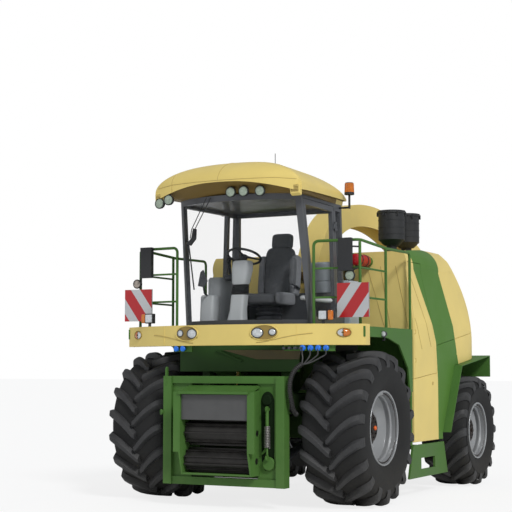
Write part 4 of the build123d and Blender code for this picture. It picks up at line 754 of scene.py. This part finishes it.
piece("console_arm", [arm_pad, arm_post], dark_plastic, smooth=60)
terminal = slab([(-0.635, 2.6), (-0.545, 2.585), (-0.5, 2.66), (-0.56, 2.8), (-0.6, 2.77)], -0.47, -0.45, 1)
terminal_arm = tube([(-0.57, -0.45, 2.64), (-0.6, -0.36, 2.52), (-0.62, -0.22, 2.48)], 0.012)
piece("side_terminal", [terminal, terminal_arm], dark_plastic, edge=0.006)
rail = smooth_line([(x, y, 2.43) for x, y in (
    (0.8, -0.4), (0.745, -0.37), (0.715, -0.3), (0.7, 0.0), (0.7, 0.3), (0.715, 0.37), (0.765, 0.42))])
white_grip = finish("white_grip", (214, 216, 218), rough=0.5, uneven=0.04)
piece("door_grab_rail", [tube(rail, 0.028, 16)], white_grip, "door")

# ----------------------------
# Bumper: a bowed steel bar with welded joints and a pressed crease. Each half has an oval pod with
# a large and a small lamp, and at its end an oval lamp whose outer half is amber.


def bumper_y(x):
    """The bumper's front face: an arc of 3 m radius."""
    return -0.967 + 3.0 - np.sqrt(9.0 - np.asarray(x, float) ** 2)


def oval(profile, x, z, stretch, steps=48):
    """A profile of (ahead, radius) turned about an axis that is square to the bumper at x, made `stretch`
    times as high as wide."""
    ahead = np.array([x / 3.0, -np.sqrt(1 - (x / 3.0) ** 2), 0])
    points, faces = turned(profile, (0, 0, 0), (0, -1, 0), steps)
    side = np.array([-ahead[1], ahead[0], 0])
    place = np.array([x, bumper_y(x), z])
    return place + points[:, :1] * side - points[:, 1:2] * ahead + points[:, 2:] * (0, 0, stretch), faces


# Painted shade: a darker cream for the floors of the lamp pods and the rims of the end lamps.
pod_painted_shade = finish("pod_recess_painted_shade", (148, 124, 62), rough=0.6, uneven=0.06)
crease = smooth_line([(0.42, 0, 1.895), (0.5, 0, 1.902), (0.62, 0, 1.925), (0.766, 0, 1.958),
                      (0.9, 0, 1.982), (1.06, 0, 2.0)])
joint_x, pod_x, pod_z, end_x, end_z = 0.885, 0.515, 2.01, 1.385, 2.006
pod_rim = [(-0.02, 0.176), (0.004, 0.176), (0.011, 0.17), (0.011, 0.164), (0.004, 0.158), (-0.02, 0.158)]
pod_floor = [(-0.02, 0.0), (-0.02, 0.16), (0.003, 0.16), (0.003, 0.0)]
end_rim = [(-0.02, 0), (-0.02, 0.086), (0.006, 0.086), (0.012, 0.081), (0.006, 0.074), (0.004, 0)]
end_dome = [(0.002, 0), (0.006, 0.074), (0.016, 0.058), (0.022, 0.03), (0.024, 0)]
for name, sign in sides:
    line = crease * (sign, 1, 1)
    line[:, 1] = bumper_y(line[:, 0]) - 0.001
    seam = [(sign * joint_x, bumper_y(joint_x) - 0.001, z) for z in np.linspace(1.872, 2.1, 4)]
    piece(f"bumper_joint_{name}", [tube(seam, 0.004, 6)], cream)
    piece(f"bumper_crease_{name}", [tube(line, 0.005, 6)], painted_shade_cream)
    pod = oval(pod_rim + pod_rim[:1], sign * pod_x, pod_z, 0.52)
    piece(f"lamp_pod_rim_{name}", [pod], cream, smooth=60)
    piece(f"lamp_pod_{name}", [oval(pod_floor, sign * pod_x, pod_z, 0.52)], pod_painted_shade)
    for size, x, z, half, stretch in (
            ("large", 0.435, 2.006, 0.075, 0.8), ("small", 0.612, 2.014, 0.047, 0.9)):
        rim = [(-0.03, 0), (-0.03, half), (0.01, half), (0.016, half * 0.94), (0.01, half * 0.86), (0.008, 0)]
        piece(f"head_lamp_{size}_{name}_rim", [oval(rim, sign * x, z, stretch)], dark_plastic)
        dome = [(0.006, 0), (0.008, half * 0.87), (0.018, half * 0.7), (0.024, half * 0.35), (0.026, 0)]
        piece(f"head_lamp_{size}_{name}_lens", [oval(dome, sign * x, z, stretch)], lens)
    piece(f"end_lamp_{name}_rim", [oval(end_rim, sign * end_x, end_z, 0.6)], pod_painted_shade)
    for part, look, test in (("clear", lens, 1), ("amber", amber, -1)):
        points, faces = oval(end_dome, sign * end_x, end_z, 0.6)
        inside = (end_x - np.abs(points[:, 0])) * test >= -0.001
        kept = [f for f in faces if inside[list(f)].all()]
        piece(f"end_lamp_{name}_{part}", [(points, kept)], look)

# ----------------------------
# Square marker lamps on short stems above the bumper, white ahead and amber on the outer side.
# With the bumper's lamps they stand for the CAD's lamps.
for name, sign in sides:
    lamp_case, stem, white, side = (box(*sorted((sign * x0, sign * x1)), *rest) for x0, x1, *rest in (
        (1.108, 1.226, -0.735, -0.675, 2.145, 2.265), (1.15, 1.184, -0.725, -0.7, 2.1, 2.15),
        (1.12, 1.214, -0.748, -0.733, 2.157, 2.253), (1.224, 1.285, -0.73, -0.685, 2.15, 2.26)))
    piece(f"marker_lamp_{name}_case", [lamp_case, stem], black_plastic, edge=0.008,
          replaces=["lamps"] if sign > 0 else ())
    piece(f"marker_lamp_{name}_lens", [white], lens, edge=0.012)
    piece(f"marker_lamp_{name}_amber", [side], amber, edge=0.014)

# ----------------------------
# Warning boards: sheet metal faced with slanting red and white bands, mirrored side to side, on
# rods from the railings.


def slanted(node, link, place):
    """1 in the red bands: the share of |x| - 0.727 z that is left over after whole periods of 0.302 m."""
    split = node.new("ShaderNodeSeparateXYZ")
    link(place, split.inputs[0])
    aside = maths(node, link, "ADD", maths(node, link, "ABSOLUTE", split.outputs["X"]), 0.309)
    run = maths(node, link, "MULTIPLY_ADD", split.outputs["Z"], -0.727, aside)
    left_over = maths(node, link, "FRACT", maths(node, link, "DIVIDE", run, 0.302))
    return maths(node, link, "LESS_THAN", left_over, 0.553)


def on_board(x, y, z, facing):
    return (np.abs(x) > 1.25) & (np.abs(facing[:, 1]) > 0.9) & (np.abs(z - 2.38) < 0.2)


stripes = finish("board_stripes", (186, 188, 190), rough=0.35, coat=0.2, uneven=0.03, second=(176, 26, 32),
                 where=slanted)
dressed("warning_boards", silver, 0.002, others=[(stripes, on_board)])

# ----------------------------
# Small lamps and mirrors on the railings: a round work lamp under the left mirror, a small round
# mirror beside the right one, and a width lamp on a stalk at the left fender's edge.
mirror_face = finish("mirror_face", (170, 160, 150), rough=0.08, metal=0.9)
for name, centre, radius, stalk, look in (
        ("rail_lamp_left", (1.4, -0.475, 2.665), 0.062,
         [(1.4, -0.455, 2.7), (1.43, -0.43, 2.74), (1.482, -0.412, 2.76)], lens_green),
        ("rail_mirror_right", (-1.5, -0.47, 2.65), 0.058,
         [(-1.47, -0.44, 2.68), (-1.49, -0.41, 2.74), (-1.495, -0.405, 2.8)], mirror_face),
        ("fender_lamp_left", (1.622, -0.01, 2.000), 0.036,
         [(1.622, 0.0, 1.99), (1.622, 0.0, 1.93), (1.598, 0.0, 1.925)], lens)):
    round_lamp(name, centre, radius, stalk, look)

# ----------------------------
# Hydraulic couplers: turned steel sockets with blue dust caps in green brackets under the bumper,
# four on the left beside the plain ones, two on the right.
blue = finish("cap_blue", (30, 116, 226), rough=0.45, uneven=0.05)


def bowed(x0, x1, behind, depth, z0, z1):
    """A plate bowed like the bumper, its front `behind` the bumper's face."""
    x = np.linspace(x0, x1, 12)
    front = np.stack([x, bumper_y(x) + behind], -1)
    return slab(np.concatenate([front, front[::-1] + (0, depth)]), z0, z1, 2)


left_places = (0.945, 1.03, 1.112, 1.195)
dust_cap = [(-0.05, 0), (-0.05, 0.02), (0.008, 0.02), (0.01, 0.032), (0.036, 0.034), (0.044, 0.026),
            (0.044, 0)]
for name, x0, x1, places in (("left", 0.985, 1.27, left_places), ("right", -0.76, -0.47, (-0.69, -0.585))):
    piece(f"coupler_bracket_{name}", [bowed(x0, x1, 0.05, 0.03, 1.795, 1.868)], green, edge=0.003)
    caps = [turned(dust_cap, (x, bumper_y(x) + 0.04, 1.832), (0, -1, 0), 20) for x in places]
    piece(f"coupler_caps_{name}", caps, blue)

# ----------------------------
# Hoses from the left couplers: four thin rubber hoses that gather into a ribbed sleeve, which runs
# down behind the feeder's frame to the chassis.
hose = finish("hose_rubber", (58, 58, 58), rough=0.5, uneven=0.1, grain=0.1)
sleeve_grey = finish("sleeve_grey", (46, 45, 44), rough=0.55, uneven=0.12)
route = smooth_line([(0.96, -0.85, 1.65), (0.9, -0.91, 1.58), (0.868, -0.95, 1.48),
                     (0.862, -0.965, 1.37), (0.868, -0.945, 1.25), (0.862, -0.88, 1.13),
                     (0.85, -0.78, 1.08), (0.76, -0.66, 1.11), (0.6, -0.56, 1.17)], 24)
length = np.concatenate([[0], np.cumsum(np.linalg.norm(np.diff(route, axis=0), axis=1))])
even = np.linspace(0, length[-1], 420)
route = np.stack([np.interp(even, length, route[:, i]) for i in range(3)], -1)
rib_pitch = 0.022
ribs = 0.0255 + 0.0045 * np.sign(np.sin(even * 2 * pi / rib_pitch))
piece("ribbed_sleeve", [tube(route, ribs, 16)], sleeve_grey, smooth=40)
thin = []
for x in left_places:
    start = np.array([x, bumper_y(x), 1.822])
    end = np.array([0.96 + (x - 1.07) * 0.09, -0.85, 1.648])
    hang = [start, start + (0.004, -0.004, -0.06), start * 0.75 + end * 0.25 + (0.012, 0, -0.055),
            start * 0.3 + end * 0.7 + (0.01, 0, -0.035), end + (0.006, 0.004, -0.004),
            end - (0.012, 0.012, 0.016)]
    thin.append(tube(smooth_line(hang, 10), 0.0085, 10))
piece("thin_hoses", thin, hose)

# ----------------------------
# Feeder front: the recess beside the mouth with its spring between two eyes, the round cover above
# it, the plate under the rolls, the lug at the frame's right top corner and the pin at its side.
hollow = finish("recess_shadow", (24, 40, 20), rough=0.8, uneven=0.1, specular=0.1)
spring_steel = finish("spring_steel", (128, 126, 122), rough=0.4, metal=0.7, uneven=0.15)
face_y, spring_x, spring_y, ahead = -0.932, 0.585, -0.985, (0, -1, 0)
turn = np.linspace(0, pi, 16)
top_arc = [(0.565 + 0.085 * np.cos(a), 1.215 + 0.12 * np.sin(a)) for a in turn]
below = [(0.485, 0.8), (0.49, 0.56), (0.53, 0.44), (0.6, 0.44), (0.645, 0.54), (0.65, 0.8)]
piece("feeder_recess", [slab(top_arc + below, -0.9335, -0.929, 1)], hollow, "feeder")
cover = [(0, 0), (0, 0.06), (0.014, 0.062), (0.022, 0.054), (0.022, 0)]
piece("feeder_cover_disc", [turned(cover, (0.56, face_y, 1.24), ahead)], hollow, "feeder")
coil = np.linspace(0, 1, 480)
coil_turn = coil * 2 * pi * 13
coil_r = 0.03
wire = np.stack([spring_x + coil_r * np.cos(coil_turn), spring_y + coil_r * np.sin(coil_turn),
                 0.7 + 0.24 * coil], -1)
piece("feeder_spring", [tube(wire, 0.0085, 8)], spring_steel, "feeder")
rod_parts = [tube([(spring_x, spring_y, z) for z in ends], radius)
             for ends, radius in (((0.6, 0.7), 0.012), ((0.94, 1.12), 0.02))]
eye = [(-0.012, 0.0), (-0.012, 0.034), (0.012, 0.034), (0.012, 0.0)]
eyes = [turned(eye, (spring_x, spring_y, z), (1, 0, 0), 24) for z in (0.585, 1.135)]
arms = [box(0.575, 0.595, spring_y, -0.93, z - 0.012, z + 0.012) for z in (0.585, 1.135)]
lever = slab([(0.51, 0.62), (0.56, 0.66), (0.585, 0.74), (0.565, 0.75), (0.535, 0.68), (0.5, 0.64)],
             -0.965, -0.935, 1)
drum_low = turned([(0, 0), (0, 0.07), (0.02, 0.08), (0.04, 0.07), (0.04, 0)], (0.59, face_y, 0.52), ahead)
piece("feeder_spring_mounts", rod_parts + eyes + arms + [lever, drum_low], green, "feeder", edge=0.002)
under_plate = box(-0.43, 0.43, -0.918, -0.908, 0.345, 0.43)
piece("feeder_floor_plate", [under_plate], chassis_green, "feeder", edge=0.002)
lug = slab([(-0.985, 1.4), (-0.94, 1.4), (-0.94, 1.6), (-0.962, 1.62), (-0.985, 1.6)], -0.775, -0.755, 0)
pin = turned([(0, 0), (0, 0.024), (0.05, 0.024), (0.056, 0.034), (0.07, 0.034), (0.074, 0)],
             (-0.79, -0.93, 1.085), (-0.6, -0.8, 0))
piece("feeder_lug_and_pin", [lug, pin], green, "feeder", edge=0.003)

# ----------------------------
# Under-cab apron: a folded guard plate on the front of the cab's carrier, paler than the green steel round
# it, and the bar that braces it. The plate's dull olive is painted shade: the cream as it looks under the
# bumper.
guard = slab([(-0.206, 1.816), (0.835, 1.812), (0.81, 1.703), (0.259, 1.704)], -0.618, -0.604, 1)
brace = slab([(-0.3, 1.812), (-0.245, 1.812), (0.075, 1.69), (0.045, 1.676)], -0.624, -0.604, 1)
guard_plate_painted_shade = finish("guard_plate_painted_shade", (86, 78, 50), rough=0.7, uneven=0.1, patch=5)
piece("apron_guard", [guard], guard_plate_painted_shade, edge=0.004)
piece("apron_brace", [brace], chassis_green, edge=0.004)

# ----------------------------
# Beacons: fluted amber lenses over the CAD's stems and bases, each with a flat cap.
turn = around(72)[None, :]
z = np.array([3.788, 3.79, 3.8, 3.88, 3.9, 3.91, 3.911])[:, None]
radius = np.array([0.0001, 0.06, 0.06, 0.057, 0.056, 0.046, 0.0001])[:, None]
radius = radius * (1 + 0.03 * np.sign(np.sin(turn * 12)))
for name, sign in sides:
    points = np.stack([sign * 0.905 + radius * np.cos(turn), 0.64 + radius * np.sin(turn), z + 0 * turn], -1)
    piece(f"beacon_lens_{name}", [(points.reshape(-1, 3), grid_faces(7, 72, False, True))], amber, smooth=25)

# ----------------------------
# Air-cleaner drums: moulded black pots. Each has stiffening beads round it and a lid with clips.
bead = [(-0.008, 0.17), (-0.005, 0.182), (0.005, 0.182), (0.008, 0.17)]
clip_ring, clip = 0.185, 0.012
for number, (x, y) in enumerate(((0.82, 2.25), (0.85, 2.72)), 1):
    beads = [turned(bead, (x, y, z), (0, 0, 1), 64, True) for z in (3.41, 3.5, 3.6)]
    clips = []
    for a in np.linspace(0.3, 2 * pi + 0.3, 6, endpoint=False):
        at_x, at_y = x + clip_ring * np.cos(a), y + clip_ring * np.sin(a)
        clips.append(box(at_x - clip, at_x + clip, at_y - clip, at_y + clip, 3.655, 3.715))
    piece(f"drum_beads_{number}", beads + clips, black_plastic, smooth=50)

# ----------------------------
# Fire extinguisher: a red bottle lying on a bracket on the hood's front, with a green valve guard.
red = finish("bottle_red", (176, 14, 26), rough=0.4, coat=0.15, uneven=0.05)
bottle_x, bottle_z = 0.9, 2.965
bottle = [(0, 0), (0.004, 0.05), (0.02, 0.07), (0.05, 0.076), (0.36, 0.076), (0.4, 0.06), (0.42, 0.03),
          (0.45, 0.026), (0.45, 0)]
piece("extinguisher_bottle", [turned(bottle, (bottle_x, 0.79, bottle_z), back, 40)], red)
strap = [(-0.012, 0.075), (-0.012, 0.08), (0.012, 0.08), (0.012, 0.075)]
straps = [turned(strap, (bottle_x, y, bottle_z), back, 40, True) for y in (0.9, 1.08)]
piece("extinguisher_bracket", straps + [box(0.88, 0.92, 0.84, 1.268, 2.872, 2.888)], black_plastic)
guard = [(0, 0.03), (0, 0.062), (0.1, 0.062), (0.11, 0.05), (0.11, 0)]
piece("extinguisher_guard", [turned(guard, (bottle_x, 1.155, bottle_z), back, 24)], green, edge=0.004)

# ----------------------------
# Cabinet behind the cab: a moulded pale lid on top, with a round filler cap at its side.
lid = [(0.765, 2.7), (1.045, 2.7), (1.045, 2.92), (1.02, 2.945), (0.785, 2.945), (0.765, 2.92)]
piece("cabinet_lid", [slab(lid, 0.3, 0.6, 0)], pale_plastic, edge=0.012)
filler = turned([(0, 0), (0, 0.06), (0.03, 0.06), (0.04, 0.048), (0.04, 0)], (0.655, 0.775, 2.8), (0, -1, 0))
piece("cabinet_filler", [filler, box(0.6, 0.66, 0.775, 0.83, 2.7, 2.81)], dark_plastic, edge=0.004)

# ----------------------------
# Side panels: pressed grooves that run down beside the band and a round turn latch below, both in the painted
# shade colour.
slope, groove = 0.567, 0.0045
for name, sign in sides:
    panels, inwards = [f"side_door_{name}", "hood"], (-sign, 0, 0)
    long_line = [(sign * 3, 1.374 + slope * (2.792 - z), z) for z in np.linspace(2.8, 1.88, 26)]
    short_line = [(sign * 3, 1.556 - slope * (z - 1.845), z) for z in np.linspace(2.3, 1.845, 14)]
    short_line = [point for point in short_line if point[1] > 1.33]
    grooves = [tube(dropped(panels, line, inwards), groove, 6) for line in (long_line, short_line)]
    piece(f"side_grooves_{name}", grooves, painted_shade_cream, f"{name}_side_door")
    latch = [(0, 0), (0, 0.024), (sign * 0.004, 0.024), (sign * 0.006, 0.018), (sign * 0.003, 0.015),
             (sign * 0.003, 0)]
    piece(f"side_latch_{name}", [turned(latch, (sign * 1.4995, 1.939, 1.405), (1, 0, 0), 24)], painted_shade_cream)
t = np.linspace(0, 1, 10)
front_grooves = [dropped(["hood"], [(x0 + (x1 - x0) * way, 0.9, 2.9 - 0.78 * way) for way in t], back)
                 for x0, x1 in ((0.875, 1.109), (1.059, 1.188), (1.264, 1.43))]
piece("hood_front_grooves", [tube(line, groove, 6) for line in front_grooves if len(line) > 2], painted_shade_cream)
